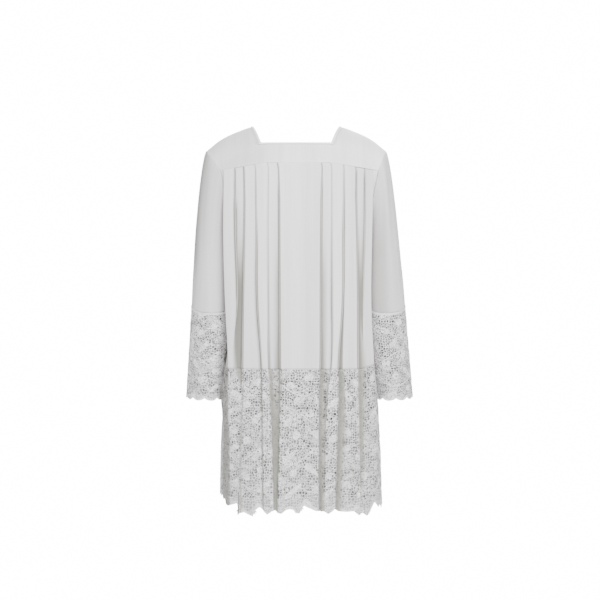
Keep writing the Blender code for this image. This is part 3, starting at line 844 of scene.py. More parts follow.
def lace_form(side):
    """The worn form under the hem lace, from its seam to below its lowest tip, and its folds'
    shade. In front, its ends lap over those of the back."""
    shares = stretch_shares(side, (HIP_Z + HEM_Z) / 2, LACE_STEP, False)
    heights = np.arange(HIP_Z, LOWEST_Z - LACE_STEP, -LACE_STEP)
    rows = [
        panel_row(side, max(z, LOWEST_Z), shares, LACE_TURN_COLUMNS, LACE_SIDE_SHADE, 0.0)
        for z in heights
    ]
    grid, lines = (np.array(part) for part in zip(*rows))
    overshoot = np.minimum(heights - LOWEST_Z, 0.0)
    grid[:, :, 2] += overshoot[:, None]
    grid[:, :, 2] -= SEAM_GAP
    grid = rounded(grid)
    grid[0] -= outward(grid, False)[0] * LACE_TOP_INSIDE
    grid[0, :, 2] += LACE_TOP_OVERLAP
    if side.way < 0:
        grid[:, [0, -1], 0] *= 1 - SIDE_LAP_INSIDE
        grid[:, [0, -1], 1] += SIDE_LAP
    return grid, whole_shade(grid, lines, LACE_REACH, LACE_TURN_COLUMNS)


def whole_shade(grid, lines, reach, turn_columns):
    """Painted shade: the lines at the folds' feet, and below the chest also painted shade over the
    folds as a whole.
    """
    shade = fold_shade(grid, reach)
    shade[:, :turn_columns] = 0
    shade[:, -turn_columns:] = 0
    heights = grid[:, :, 2]
    return np.maximum(lines, shade * lerp(0.25, 1.0, past(heights, -0.28, -0.16)))


# The sleeves


def sleeve_ring(angle, share, tilt):
    """Points of the left sleeve below its first ring, at 0 degrees outside, 90 behind and 180
    inside. The tilt is the lean of this sleeve's shoulder away from the body."""
    turn = np.radians(angle)
    x, y, z, half_width, half_depth, back_drop, inner_drop = (
        along(RING_SHARES, [ring[k] for ring in SLEEVE_RINGS], share) for k in range(7)
    )
    wave = 1 + SLEEVE_WAVE * (share - 1) * np.cos(3 * turn + 0.6)
    outer = (1 + np.cos(turn)) / 2
    bend = np.where(np.cos(turn) < 0, lerp(1.0, INNER_CORNER, ramp(-np.cos(turn) * 3)), 1.0)
    across = np.sign(np.cos(turn)) * abs(np.cos(turn)) ** bend
    deep = np.sign(np.sin(turn)) * abs(np.sin(turn)) ** bend
    return np.stack(
        [
            x + half_width * across + tilt * outer * (1 - share / RING_SHARES[-1]),
            y + half_depth * wave * deep,
            z - back_drop * np.sin(turn) - inner_drop * (1 - np.cos(turn)) / 2,
        ],
        axis=-1,
    )


def sleeve_row(angle, share, tilt):
    """A row of the left sleeve: share 0 at the armhole and 3 at the cuff's edge."""
    if share >= 1:
        return sleeve_ring(angle, share, tilt)
    behind = (angle <= 180)[:, None]
    head = np.where(behind, armhole(BACK, angle), armhole(FRONT, 360 - angle))
    head[:, 0] += lean(head[:, 2]) * tilt / LEAN + SLEEVE_GAP
    ring = sleeve_ring(angle, 1.0, tilt)
    start = np.tile(HEAD_START, (len(angle), 1))
    start[:, 1] *= np.sin(np.radians(angle))
    below = sleeve_ring(angle, 1.05, tilt) - ring
    end = unit(below) * np.linalg.norm(ring - head, axis=-1, keepdims=True)
    return hermite(head, start, ring, end, share)


def round_angles(columns):
    """The angle of each column round a sleeve, in degrees."""
    return np.arange(columns) * 360 / columns


def sleeve_grid(shares, tilt, crease, columns=SLEEVE_COLUMNS):
    """A closed tube of the left sleeve, without the column that would close it."""
    angle = round_angles(columns)
    grid = np.array([sleeve_row(angle, share, tilt) for share in shares])
    if not crease:
        return grid
    signed = (angle + 180) % 360 - 180
    rise = crease * crease_rise(SLEEVE_CREASES, signed[None], np.array(shares)[:, None], 0.4)
    return grid + outward(grid, True) * rise[..., None]


def inner_shade(columns, rows, hand):
    """Painted shade on a sleeve's cloth: all over it, more where it hangs beside the body, and on the
    left one also along its outer edge. Inside is how many degrees a column lies from the sleeve's
    inner line."""
    inside = abs(round_angles(columns) - 180)
    down = np.linspace(0, 1, rows)[:, None]
    if hand > 0:
        inner = 0.70 * past(inside, 50, -24) * past(down, 0.45, 0.35)
        shade = np.maximum(0.34 * past(inside, 72, -10), inner)
        outer = 0.80 * past(inside, 112, 44) * (1 - past(down, 0.55, 0.3))
        whole = 1 - (1 - lerp(0.48, 0.24, ramp(down * 1.2))) * (1 - outer)
        head = ramp((down - 0.02) * 6)
    else:
        shade = 0.70 * past(inside[::-1], 122, -56)
        whole = lerp(0.38, 0.30, down)
        head = ramp((down - 0.12) * 2.2)
    return 0.83 * (whole + (1 - whole) * head * shade)


def cuff_shade(columns, rows, hand):
    """Painted shade for a lace cuff: the left one is painted darker where it hangs in the shade of the
    body's side, and the right one a little all round.
    """
    inside = abs(round_angles(columns) - 180)
    if hand > 0:
        shade = np.maximum(0.05 * past(inside, 72, -10), 0.75 * past(inside, 48, -22))
    else:
        shade = np.full_like(inside, 0.10)
    return np.repeat(shade[None], rows, axis=0)


def handed(grid, hand):
    """A left sleeve's grid, or the same on the wearer's right."""
    return grid if hand > 0 else grid[:, ::-1] * (-1, 1, 1)


def sleeve_shares(start, stop, step):
    """Shares of the sleeve from start to stop, about a step apart in metres."""
    heights = [ring.z for ring in SLEEVE_RINGS]
    length = abs(along(RING_SHARES, heights, stop) - along(RING_SHARES, heights, start))
    return np.linspace(start, stop, int(length / step) + 2)


# Meshes


def outward(grid, closed):
    """Unit steps out of a sheet. Its rows run downwards."""
    down = np.gradient(grid, axis=0)
    if closed:
        over = np.roll(grid, -1, axis=1) - np.roll(grid, 1, axis=1)
    else:
        over = np.gradient(grid, axis=1)
    return unit(np.cross(down, over))


def fold_shade(grid, reach):
    """How closed in each point is by the folds beside it in its row: 0 in the open, towards 1 deep
    between two walls of cloth."""
    normals = outward(grid, False)
    walls = []
    for way in (1, -1):
        steepest = np.zeros(grid.shape[:2])
        for k in range(1, reach + 1):
            step = np.roll(grid, way * k, axis=1) - grid
            edge = slice(0, k) if way > 0 else slice(-k, None)
            step[:, edge] = 0
            distance = np.maximum(np.linalg.norm(step, axis=2), 0.0012)
            steepest = np.maximum(steepest, (step * normals).sum(axis=2) / distance)
        walls.append(steepest)
    shade = softened((walls[0] + walls[1]) / 2)
    return ramp((shade - OPEN_FOLD) / (CLOSED_FOLD - OPEN_FOLD))


def set_values(piece, name, values):
    """Keeps one value for each point on the mesh, for its material."""
    attribute = piece.data.attributes.new(name, "FLOAT", "POINT")
    attribute.data.foreach_set("value", np.asarray(values, np.float32).ravel())


def flat_lengths(grid):
    """How far each column lies along the cut cloth: the mean over the rows."""
    return running(steps(grid, 1).mean(axis=0))


def row_lengths(grid):
    """How far each row lies down the cut cloth: the mean over the columns."""
    return running(steps(grid, 0).mean(axis=1))


def add_object(name, data):
    """A new object in the scene."""
    made = bpy.data.objects.new(name, data)
    bpy.context.scene.collection.objects.link(made)
    return made


def make_piece(name, verts, faces, corner_uvs, material):
    """A mesh object that rides with the garment. The UVs are given for each face corner."""
    mesh = bpy.data.meshes.new(name)
    mesh.from_pydata(np.asarray(verts).tolist(), [], np.asarray(faces).tolist())
    layer = mesh.uv_layers.new(name="Cut")
    layer.data.foreach_set("uv", np.asarray(corner_uvs, np.float32).ravel())
    mesh.materials.append(material)
    mesh.shade_smooth()
    mesh.validate()
    piece = add_object(name, mesh)
    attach(piece, BODY)
    return piece


def grid_corners(rows, columns, closed):
    """The row and the column of each quad's four corners, outwards. In a closed grid the last
    column has the number after the last one's."""
    j, i = np.meshgrid(np.arange(rows - 1), np.arange(columns - (not closed)), indexing="ij")
    return (np.stack(corners, axis=-1).reshape(-1, 4)
            for corners in ((j + 1, j + 1, j, j), (i, i + 1, i + 1, i)))


def grid_faces(rows, columns, closed):
    """The quads of a grid, outwards, as rows of four vertex numbers."""
    j, i = grid_corners(rows, columns, closed)
    return j * columns + i % columns


def make_sheet(name, grid, closed, thickness, material, places=None, shade=None):
    """A thin closed shell of cloth: the sheet, a second one behind it and the edges between. The
    places are the flat place of each point, if it isn't the one in the grid."""
    rows, columns = grid.shape[:2]
    count = rows * columns
    inner = grid - outward(grid, closed) * thickness
    if places is None:
        across, down = np.meshgrid(flat_lengths(joined(grid, closed)), row_lengths(grid))
        places = np.stack([across, -down], axis=-1)
    j, i = grid_corners(rows, columns, closed)
    quads = grid_faces(rows, columns, closed)
    uvs = places[j, i]

    def rim(a, b):
        """The narrow faces between the edges a to b of the sheet and of the one behind it."""
        return np.stack([a, b, b + count, a + count], axis=-1)

    a = np.arange(columns - (not closed))
    b = (a + 1) % columns
    low = count - columns
    rims = [rim(a, b), rim(low + b, low + a)]
    if not closed:
        a = np.arange(rows - 1) * columns
        b = a + columns
        rims += [rim(b, a), rim(a + columns - 1, b + columns - 1)]
    rims = np.concatenate(rims)
    rim_uvs = np.repeat(uvs[:1, :1], rims.size, axis=1)
    verts = np.concatenate([grid.reshape(-1, 3), inner.reshape(-1, 3)])
    faces = np.concatenate([quads, quads[:, ::-1] + count, rims])
    all_uvs = np.concatenate([part.reshape(-1, 2) for part in (uvs, uvs[:, ::-1], rim_uvs)])
    piece = make_piece(name, verts, faces, all_uvs, material)
    if shade is not None:
        set_values(piece, "fold_shade", np.concatenate([shade, shade]))
    return piece


class Lay:
    """A flat band of lace laid on its worn form. Along is metres from its first column, and below
    is metres under its seam."""

    def __init__(self, grid, closed, shade):
        self.closed = closed
        self.normals = joined(outward(grid, closed), closed)
        self.grid = joined(grid, closed)
        self.shade = joined(shade, closed)
        self.along = flat_lengths(self.grid)
        self.below = row_lengths(self.grid)
        self.width = self.along[-1]

    def at(self, along_band, below_seam, rise=0.0):
        """Points of the worn form at flat places, lifted off it by a rise, and the fold shade."""
        if self.closed:
            along_band = along_band % self.width
        i = np.clip(np.searchsorted(self.along, along_band) - 1, 0, len(self.along) - 2)
        j = np.clip(np.searchsorted(self.below, below_seam) - 1, 0, len(self.below) - 2)
        s = clamp((along_band - self.along[i]) / (self.along[i + 1] - self.along[i]))[..., None]
        t = ((below_seam - self.below[j]) / (self.below[j + 1] - self.below[j]))[..., None]

        def read(values):
            top = lerp(values[j, i], values[j, i + 1], s)
            return lerp(top, lerp(values[j + 1, i], values[j + 1, i + 1], s), t)

        lifted = read(self.grid) + unit(read(self.normals)) * np.asarray(rise)[..., None]
        return lifted, self.shade[j, i]


# Flat shapes of the lace, in place as (along, below, rise)


def leaf_form(widest, rows, section):
    """A leaf or petal of length 1 and width 1, from its base at the origin along +X: points as
    (x, y, rise) and the faces between them. The section is pairs of (across, rise)."""
    s = np.linspace(0.0, 1.0, rows + 1)[:, None]
    across, rise = np.array(section, float).T
    half = np.sin(math.pi * s ** (math.log(0.5) / math.log(widest))) ** 0.75 / 2
    swell = np.sin(math.pi * np.clip(s, 0.06, 0.94)) ** 0.5
    points = np.stack(np.broadcast_arrays(s, half * across, swell * rise), axis=-1)
    return points.reshape(-1, 3), grid_faces(rows + 1, len(section), False)


FINE_SECTION = (
    (-1, 0.0), (-0.74, 1.0), (-0.36, 0.45), (0, 0.85), (0.36, 0.45), (0.74, 1.0), (1, 0.0),
)
PLAIN_SECTION = ((-1, 0.0), (0, 1.0), (1, 0.0))
PETAL = leaf_form(0.62, 6, FINE_SECTION)
LEAF = leaf_form(0.42, 6, FINE_SECTION)
SPRIG = leaf_form(0.55, 4, PLAIN_SECTION)


def ring_form(sides, radii_and_rises):
    """A round form: rings of points about the origin, and the faces between them."""
    turn = np.arange(sides) * 2 * math.pi / sides
    rings = [
        np.stack([r * np.cos(turn), r * np.sin(turn), np.full(sides, h)], axis=-1)
        for r, h in radii_and_rises
    ]
    return np.concatenate(rings), grid_faces(len(rings), sides, True)[:, ::-1]


BUTTON = ring_form(8, ((1.0, 0.0), (0.8, 1.0), (0.35, 0.8), (0.02, 1.0)))
RIM = ring_form(10, ((1.32, 0.0), (1.12, 1.0), (0.88, 0.0)))


class Flat:
    """The raised work of one band of lace, gathered piece by piece while it is still flat."""

    def __init__(self):
        self.points, self.faces, self.local, self.count = [], [], [], 0

    def add(self, points, faces, local):
        self.points.append(points)
        self.faces.append(faces + self.count)
        self.local.append(local)
        self.count += len(points)

    def place(self, form, spots, veined=True):
        """Puts a form at each spot: (along, below, turn, length, width, rise)."""
        if not len(spots):
            return
        points, faces = form
        u, v, turn, length, width, rise = np.array(spots, float).T[..., None]
        x, y = points[:, 0] * length, points[:, 1] * width
        cos, sin = np.cos(turn), np.sin(turn)
        placed = np.stack([u + x * cos - y * sin, v + x * sin + y * cos, points[:, 2] * rise], axis=-1)
        first = np.arange(len(spots))[:, None, None] * len(points)
        local = np.stack([x, y + (0.0 if veined else UNVEINED)], axis=-1)
        self.add(placed.reshape(-1, 3), (faces + first).reshape(-1, 4), local.reshape(-1, 2))

    def cord(self, u, v, rise, width=CORD_WIDTH):
        """A raised cord along a flat line of places."""
        line = np.stack(np.broadcast_arrays(u, v), axis=-1)
        over = unit(np.gradient(line, axis=0))[:, ::-1] * (-1, 1) * width / 2
        rails = ((line - over, 0.0), (line, rise), (line + over, 0.0))
        points = [np.column_stack([rail, np.full(len(rail), h)]) for rail, h in rails]
        faces = grid_faces(3, len(line), False)[:, ::-1]
        aside = np.repeat((-1, 0, 1), len(line)) * width / 2 + UNVEINED
        local = np.column_stack([np.tile(running(steps(line, 0)), 3), aside])
        self.add(np.concatenate(points), faces, local)


def feather(flat, u, v, turn, bend, length, rise):
    """A feathered leaf: a curved rib with slim leaflets on both sides."""
    pairs = int(length / LEAFLET_STEP)
    turns = turn + bend * np.arange(pairs + 1) / pairs
    ribs_u = u + LEAFLET_STEP * running(np.cos(turns[:-1]))
    ribs_v = v + LEAFLET_STEP * running(np.sin(turns[:-1]))
    flat.cord(ribs_u, ribs_v, rise, 0.0016)
    leaflets = []
    for k in range(1, pairs + 1):
        size = length * (0.20 + 0.22 * math.sin(math.pi * (k + 0.5) / (pairs + 2)))
        for way in (1, -1):
            leaflets.append((ribs_u[k], ribs_v[k], turns[k] + way * 0.62, size, 0.0038, rise))
    leaflets.append((ribs_u[-1], ribs_v[-1], turns[-1], length * 0.26, 0.0042, rise))
    flat.place(SPRIG, leaflets)
    return list(zip(ribs_u[2::2], ribs_v[2::2]))


def vine_below(vine, u):
    return vine.depth + vine.sway * np.sin(2 * math.pi * (u / VINE_REPEAT - vine.start))


def flower_spots(vines, width):
    """Each flower as (along, below, radius): one in every bend of a vine."""
    spots = []
    for vine in vines:
        repeats = max(round(width / VINE_REPEAT), 1)
        for k in range(2 * repeats + 2):
            u = VINE_REPEAT * (vine.start + 0.25 + k / 2) - VINE_REPEAT
            way = 1 if k % 2 == 0 else -1
            size = vine.flower * (1.0 if k % 4 < 2 else 0.88)
            spots.append((u, vine.depth + way * (vine.sway - size * 0.80), size))
    return np.array([s for s in spots if -0.01 < s[0] < width + 0.01])


def eyelet_spots(vines, width):
    """The middles of the groups of eyelets, above and below each vine where it crosses its line."""
    spots = []
    for vine in vines:
        for k in range(-1, int(2 * width / VINE_REPEAT) + 3):
            u = VINE_REPEAT * (vine.start + k / 2)
            way = 1 if k % 2 else -1
            spots.append((u + way * 0.012, vine.depth - 0.017))
            spots.append((u - way * 0.012, vine.depth + 0.017))
    return np.array(spots)


def closest(place, places):
    """Distance from a flat place to the nearest of some others."""
    return np.linalg.norm(np.array(places) - place, axis=1).min()


def chart_flowers(flowers, rise, rng):
    """The petals and the button of each flower, and the middles of the petals."""
    petals, buttons, middles = [], [], []
    for u, v, radius in flowers:
        start = rng.uniform(0, 1)
        for k in range(PETALS):
            turn = start + 2 * math.pi * k / PETALS
            length = radius * rng.uniform(0.80, 0.92)
            foot = radius * 0.16
            du, dv = math.cos(turn), math.sin(turn)
            petals.append((u + du * foot, v + dv * foot, turn, length, radius * 0.40, rise))
            middles.append((u + du * radius * 0.55, v + dv * radius * 0.55))
        buttons.append((u, v, 0, radius * 0.20, radius * 0.20, rise * 1.7))
    return petals, buttons, middles


def chart_leaves(vine, width, flowers, eyelets, middles, rise, rng):
    """Pairs of leaves along a vine, on either side by turns, clear of flowers and eyelets."""
    leaves = []
    for k in range(int(width / vine.leaf_step)):
        u = (k + 0.5) * vine.leaf_step
        v = float(vine_below(vine, u))
        slope = float(vine_below(vine, u + MM) - v) / MM
        way = 1 if k % 2 else -1
        turn = math.atan(slope) + way * rng.uniform(0.75, 1.15)
        length = vine.leaf * rng.uniform(0.85, 1.1)
        mid = (u + math.cos(turn) * length * 0.55, v + math.sin(turn) * length * 0.55)
        if (np.linalg.norm(flowers[:, :2] - mid, axis=1) < flowers[:, 2] * 0.92).any():
            continue
        if closest(mid, eyelets) < 0.009:
            continue
        for part in (-0.17, 0.17):
            leaves.append((u, v, turn + part, length, length * 0.21, rise * 0.9))
        middles.append(mid)
    return leaves


def add_feathers(flat, vine, width, middles, rise, rng):
    """Feathered leaves that branch off a vine, one in each half of its waves."""
    for k in range(-1, int(2 * width / VINE_REPEAT) + 2):
        u = VINE_REPEAT * (vine.start + 0.30 + k / 2)
        if not 0.0 < u < width:
            continue
        way = -1 if k % 2 else 1
        length = rng.uniform(0.030, 0.044)
        turn = way * rng.uniform(0.45, 0.80) + (math.pi if rng.uniform() < 0.5 else 0)
        turn = turn if abs(turn) < 2 else -turn
        bend = rng.uniform(-0.7, 0.7)
        middles.extend(feather(flat, u, float(vine_below(vine, u)), turn, bend, length, rise))


def chart_sprigs(width, edge_below, eyelets, middles, rise, rng):
    """Small sprigs in the room that the other shapes leave."""
    sprigs = []
    for a in np.arange(SPRIG_STEP / 2, width, SPRIG_STEP):
        for b in np.arange(SPRIG_STEP * 0.6, DEEPEST_SPRIG, SPRIG_STEP * 0.87):
            u = a + rng.uniform(-0.25, 0.25) * SPRIG_STEP
            v = b + rng.uniform(-0.25, 0.25) * SPRIG_STEP
            if v > edge_below(u) - 0.006:
                continue
            if closest((u, v), middles) < SPRIG_STEP * 0.80 or closest((u, v), eyelets) < 0.0115:
                continue
            count = 4 if rng.uniform() < 0.35 else 2
            start = rng.uniform(0, math.pi)
            for k in range(count):
                turn = start + 2 * math.pi * k / count + (0.6 if count == 2 and k else 0)
                length = rng.uniform(0.0078, 0.0104)
                sprigs.append((u, v, turn, length, length * 0.44, rise * 0.8))
            middles.append((u, v))
    return sprigs


def floral(flat, vines, width, edge_below, rise, rng):
    """Charts the vines, flowers, leaves and sprigs of a band. Returns the middles of all raised
    shapes, for the ground to close up under them, the flowers and the eyelets."""
    flowers = flower_spots(vines, width)
    eyelets = eyelet_spots(vines, width)
    petals, buttons, middles = chart_flowers(flowers, rise, rng)
    leaves = []
    for vine in vines:
        u = np.arange(0, width + VINE_STEP, VINE_STEP)
        flat.cord(u, vine_below(vine, u), rise * 1.1)
        leaves += chart_leaves(vine, width, flowers, eyelets, middles, rise, rng)
        add_feathers(flat, vine, width, middles, rise, rng)
    sprigs = chart_sprigs(width, edge_below, eyelets, middles, rise, rng)
    flat.place(PETAL, petals)
    flat.place(LEAF, leaves)
    flat.place(SPRIG, sprigs)
    flat.place(BUTTON, buttons, False)
    return np.array(middles), flowers, eyelets


def hem_edge(side, width, u):
    """How far below the lace's seam its lower edge lies, at a place along the band. In front it
    rises towards both side seams, as it does behind."""
    points = HEM_EDGES[side.name]
    place = np.asarray(u) / MM % points[-1].along
    drop = np.interp(place, [p.along for p in points], [p.drop for p in points])
    if side.way < 0:
        drop = drop - HEM_SIDE_RISE * (1 - ramp(np.minimum(u, width - u) / HEM_SIDE_RUN))
    return HIP_Z - HEM_NOTCH_Z + drop * MM


def scallops(flat, edge_below, width, length, rise):
    """Fans of leaves in the scallops, and a cord along the edge."""
    fans = []
    places = np.arange(0.004, width - 0.004, MM)
    depths = edge_below(places)
    tips = places[1:-1][(depths[1:-1] > depths[:-2]) & (depths[1:-1] >= depths[2:])]
    for tip in tips:
        base = float(edge_below(tip)) - length * 1.12
        for k in (-2, -1, 0, 1, 2):
            turn = math.pi / 2 + 0.50 * k
            fans.append((tip, base, turn, length * (1.0 - 0.10 * abs(k)), length * 0.32, rise))
    flat.place(LEAF, fans)
    u = np.arange(0, width + 0.0015, 0.003)
    flat.cord(u, edge_below(u) - EDGE_CORD_UP, rise * 1.2)


def border_cords(flat, edge_below, width, rise):
    """A cord along a hem band's seam, and one down each of its ends beside the side seam."""
    flat.cord(np.arange(0, width, CORD_STEP), TOP_CORD / 2, TOP_CORD_RISE, TOP_CORD)
    for u in (CORD_WIDTH / 2, width - CORD_WIDTH / 2):
        flat.cord(u, np.arange(0.002, float(edge_below(u)) - 0.001, CORD_STEP), rise)


def gap_cells(u, v, flowers, eyelets, rng):
    """Grid points that become gaps: in groups, and round the flowers, never side by side."""
    wanted = []

    def want(a, b, turn, reach):
        wanted.append((a + math.cos(turn) * reach, b + math.sin(turn) * reach))

    for a, b in eyelets:
        tilt = rng.uniform(0.2, 1.0)
        for k in range(4):
            want(a, b, tilt + math.pi * k / 2, EYELET_REACH)
        want(a, b, tilt, 0.0)
    for a, b, radius in flowers:
        start = rng.uniform(0, 1)
        for k in range(PETALS):
            turn = start + 2 * math.pi * (k + 0.5) / PETALS
            want(a, b, turn, radius * rng.uniform(1.02, 1.16))
    taken = np.zeros(v.shape, bool)
    cells = []
    for a, b in wanted:
        i = int(np.argmin(abs(u - a)))
        j = int(np.argmin(abs(v[:, i] - b)))
        inside = 3 < i < len(u) - 4 and 3 < j < len(v) - GAP_MARGIN_ROWS
        if inside and not taken[j - 2 : j + 3, i - 2 : i + 3].any():
            taken[j, i] = True
            cells.append((j, i))
    return cells


def net_rows(lay, edge_below):
    """The flat places of a band's grid: level rows above, and below they follow its lower edge."""
    u = lay.along[:-1] if lay.closed else lay.along
    level = float(edge_below(0.0))
    rows = int(round(level / LACE_STEP)) + 4
    share = np.linspace(0, 1, rows)[:, None]
    v = lerp(share * level, share * edge_below(u)[None], ramp((share - 0.55) / 0.45))
    return np.repeat(u[None], rows, axis=0), v


def make_net(name, lay, edge_below, charted, radius, rng):
    """The net ground of a band, with its gaps cut through behind and in its material alone in
    front. Returns the piece and the gaps' places."""
    middles, flowers, eyelets = charted
    u, v = net_rows(lay, edge_below)
    rows, columns = u.shape
    cells = gap_cells(u[0], v, flowers, eyelets, rng)
    cut = np.zeros((rows, columns), bool)
    gap = np.zeros((rows, columns))
    spots, shades = lay.at(u, v)
    cells = [(j, i) for j, i in cells
             if shades[j, i] < GAP_MOST_SHADE and (lay.closed or abs(spots[j, i, 0]) < HEM_GAP_REACH)]
    around = [(dj, di) for dj in (-1, 0, 1) for di in (-1, 0, 1) if dj or di]
    for j, i in cells:
        centre = np.array((u[j, i], v[j, i]))
        if spots[j, i, 1] > GAPS_BEHIND_Y:
            cut[j - 1 : j + 1, i - 1 : i + 1] = True
        gap[j, i] = 1.0
        for dj, di in around:
            step = np.array((u[j + dj, i + di], v[j + dj, i + di])) - centre
            u[j + dj, i + di], v[j + dj, i + di] = centre + step / np.linalg.norm(step) * radius
    verts, shade = lay.at(u, v)
    quads = grid_faces(rows, columns, lay.closed)
    keep = ~cut[: rows - 1, : columns - (not lay.closed)].ravel()
    corner_u = u.ravel()[quads]
    if lay.closed:
        behind = corner_u < corner_u.max(axis=1, keepdims=True) - lay.width / 2
        corner_u = np.where(behind, corner_u + lay.width, corner_u)
    uvs = np.stack([corner_u, -v.ravel()[quads]], axis=-1)[keep]
    piece = make_piece(name, verts.reshape(-1, 3), quads[keep], uvs, net_material())
    set_values(piece, "fold_shade", shade)
    set_values(piece, "open_ground", open_ground(u, v, lay, edge_below, middles, shade))
    set_values(piece, "gap", gap)
    return piece, [(u[j, i], v[j, i]) for j, i in cells]


def open_ground(u, v, lay, edge_below, middles, shade):
    """Where the ground is an open web, 1, and where it is close net, 0: in patches, but not under
    raised work, near the lower edge, at the ends of a band or deep between folds."""
    near = nearest(np.column_stack([u.ravel(), v.ravel()]), middles).reshape(u.shape)
    wide = past(near, *OPEN_OFF_WORK) * past(edge_below(u) - v, *OPEN_OFF_EDGE)
    wide *= open_patches(u, v)
    if not lay.closed:
        wide *= past(np.minimum(u, lay.width - u), *OPEN_OFF_END)
    return wide * (1 - past(shade, *OPEN_TO_SHADE))


def open_patches(u, v):
    """Uneven patches, from 0 to 1."""
    across = np.sin(u / 0.0083 + 1.7 * np.sin(v / 0.017))
    down = np.sin(v / 0.0074 + 1.9 * np.sin(u / 0.019))
    return ramp((across + down + 1.25) / 0.35)


def nearest(points, targets):
    """Distance from each point to the nearest target, taken in blocks."""
    found = [
        np.sqrt(((block[:, None] - targets[None]) ** 2).sum(axis=-1)).min(axis=1)
        for block in np.array_split(points, max(len(points) // 1500, 1))
    ]
    return np.concatenate(found)


def make_raised(name, lay, flat):
    """The raised work of a band, laid on its worn form as one piece."""
    points = np.concatenate(flat.points)
    faces = np.concatenate(flat.faces)
    local = np.concatenate(flat.local)
    a = points[faces[:, 2]] - points[faces[:, 0]]
    b = points[faces[:, 3]] - points[faces[:, 1]]
    inward = a[:, 0] * b[:, 1] > a[:, 1] * b[:, 0]
    faces[inward] = faces[inward, ::-1]
    verts, shade = lay.at(points[:, 0], points[:, 1], points[:, 2] + RAISED_OVER_NET)
    piece = make_piece(name, verts, faces, local[faces.ravel()], raised_material())
    set_values(piece, "fold_shade", shade)
    return piece


def make_band(name, lay, vines, edge_below, point, rng):
    """One band of lace: its net ground, and its raised work with points of this length."""
    lace = bpy.context.scene.surplice_lace
    flat = Flat()
    charted = floral(flat, vines, lay.width, edge_below, lace.petal_rise, rng)
    scallops(flat, edge_below, lay.width, point, lace.petal_rise)
    ground, gaps = make_net(name, lay, edge_below, charted, lace.gap_radius, rng)
    rims = [(*place, 0, lace.gap_radius, lace.gap_radius, RIM_RISE) for place in gaps]
    flat.place(RIM, rims, False)
    if not lay.closed:
        border_cords(flat, edge_below, lay.width, lace.petal_rise)
    return ground, make_raised(f"{name}_flowers", lay, flat)


# Stitches


STITCH = ring_form(6, ((0.5, 0.0), (0.42, 0.8), (0.15, 1.0)))


def make_stitches(name, lines):
    """Rows of stitches on the cloth. Each line is (points, normals) along a seam."""
    sewing = bpy.context.scene.surplice_sewing
    length, width = sewing.stitch_length, sewing.stitch_width
    verts, faces, count = [], [], 0
    base, base_faces = STITCH
    for points, normals in lines:
        reach = running(steps(points, 0))
        at = np.arange(length, reach[-1], length * 1.4)

        def read(values, places):
            return np.column_stack([np.interp(places, reach, column) for column in values.T])

        middle = read(points, at)
        normal = unit(read(normals, at))
        run = unit(read(points, at + length / 2) - middle + 1e-7)
        over = unit(np.cross(normal, run))
        run = np.cross(over, normal)
        placed = (
            middle[:, None]
            + run[:, None] * (base[:, 0] * length)[None, :, None]
            + over[:, None] * (base[:, 1] * width)[None, :, None]
            + normal[:, None] * (base[:, 2] * width * 0.7 + 0.0001)[None, :, None]
        )
        verts.append(placed.reshape(-1, 3))
        first = np.arange(len(at))[:, None, None] * len(base) + count
        faces.append((base_faces + first).reshape(-1, 4))
        count += len(at) * len(base)
    verts, faces = np.concatenate(verts), np.concatenate(faces)
    return make_piece(name, verts, faces, np.zeros((faces.size, 2)), braid_material())


# Materials


def built_once(kind, name):
    """Lets a function build its material or node group only where the file hasn't got it yet."""

    def decorate(build):
        @wraps(build)
        def find_or_build():
            return getattr(bpy.data, kind).get(name) or build(name)

        return find_or_build

    return decorate


def feed(tree, socket, value):
    """Links a socket to another one, or gives it a plain value."""
    if isinstance(value, bpy.types.NodeSocket):
        tree.links.new(value, socket)
    else:
        socket.default_value = value


def add_node(tree, kind, **values):
    """A shader node with some of its inputs fed, by name."""
    node = tree.nodes.new(f"ShaderNode{kind}")
    for label, value in values.items():
        feed(tree, node.inputs[label.replace("_", " ")], value)
    return node


def maths(tree, operation, *values):
    """A Math node fed with numbers or sockets. Returns its output."""
    node = tree.nodes.new("ShaderNodeMath")
    node.operation = operation
    for socket, value in zip(node.inputs, values):
        feed(tree, socket, value)
    return node.outputs[0]


def vectors(tree, operation, *values, scale=None):
    """A Vector Math node fed with triples or sockets. Returns its output."""
    node = tree.nodes.new("ShaderNodeVectorMath")
    node.operation = operation
    for socket, value in zip(node.inputs, values):
        feed(tree, socket, value)
    if scale is not None:
        feed(tree, node.inputs["Scale"], scale)
    return node.outputs["Value" if operation == "LENGTH" else "Vector"]


def soft_step(tree, value, low, high):
    """A smooth step from 0 below low to 1 above high."""
    node = add_node(tree, "MapRange", Value=value, From_Min=low, From_Max=high)
    node.interpolation_type = "SMOOTHSTEP"
    return node.outputs["Result"]


def inverse(tree, value):
    """One minus a value."""
    return maths(tree, "SUBTRACT", 1.0, value)


def noise(tree, place, scale, detail=2.0):
    return add_node(tree, "TexNoise", Vector=place, Scale=scale, Detail=detail).outputs["Fac"]


def attribute_value(tree, name):
    node = tree.nodes.new("ShaderNodeAttribute")
    node.attribute_name = name
    return node.outputs["Fac"]


def uv_place(tree):
    node = tree.nodes.new("ShaderNodeUVMap")
    node.uv_map = "Cut"
    return node.outputs["UV"]


def mix_colours(tree, factor, low, high):
    """A colour from low, where the factor is 0, to high, where it is 1. Each is a socket or a
    plain colour."""
    node = tree.nodes.new("ShaderNodeMix")
    node.data_type = "RGBA"
    feed(tree, node.inputs["Factor"], factor)
    for label, colour in (("A", low), ("B", high)):
        linked = isinstance(colour, bpy.types.NodeSocket)
        feed(tree, node.inputs[label], colour if linked else (*colour, 1.0))
    return node.outputs["Result"]


def shaded(tree, colour, fold_shade_colour):
    """Painted shade between the folds: the colour turned warmer and darker towards the fold shade
    colour by each point's fold_shade.
    """
    return mix_colours(tree, attribute_value(tree, "fold_shade"), colour, fold_shade_colour)


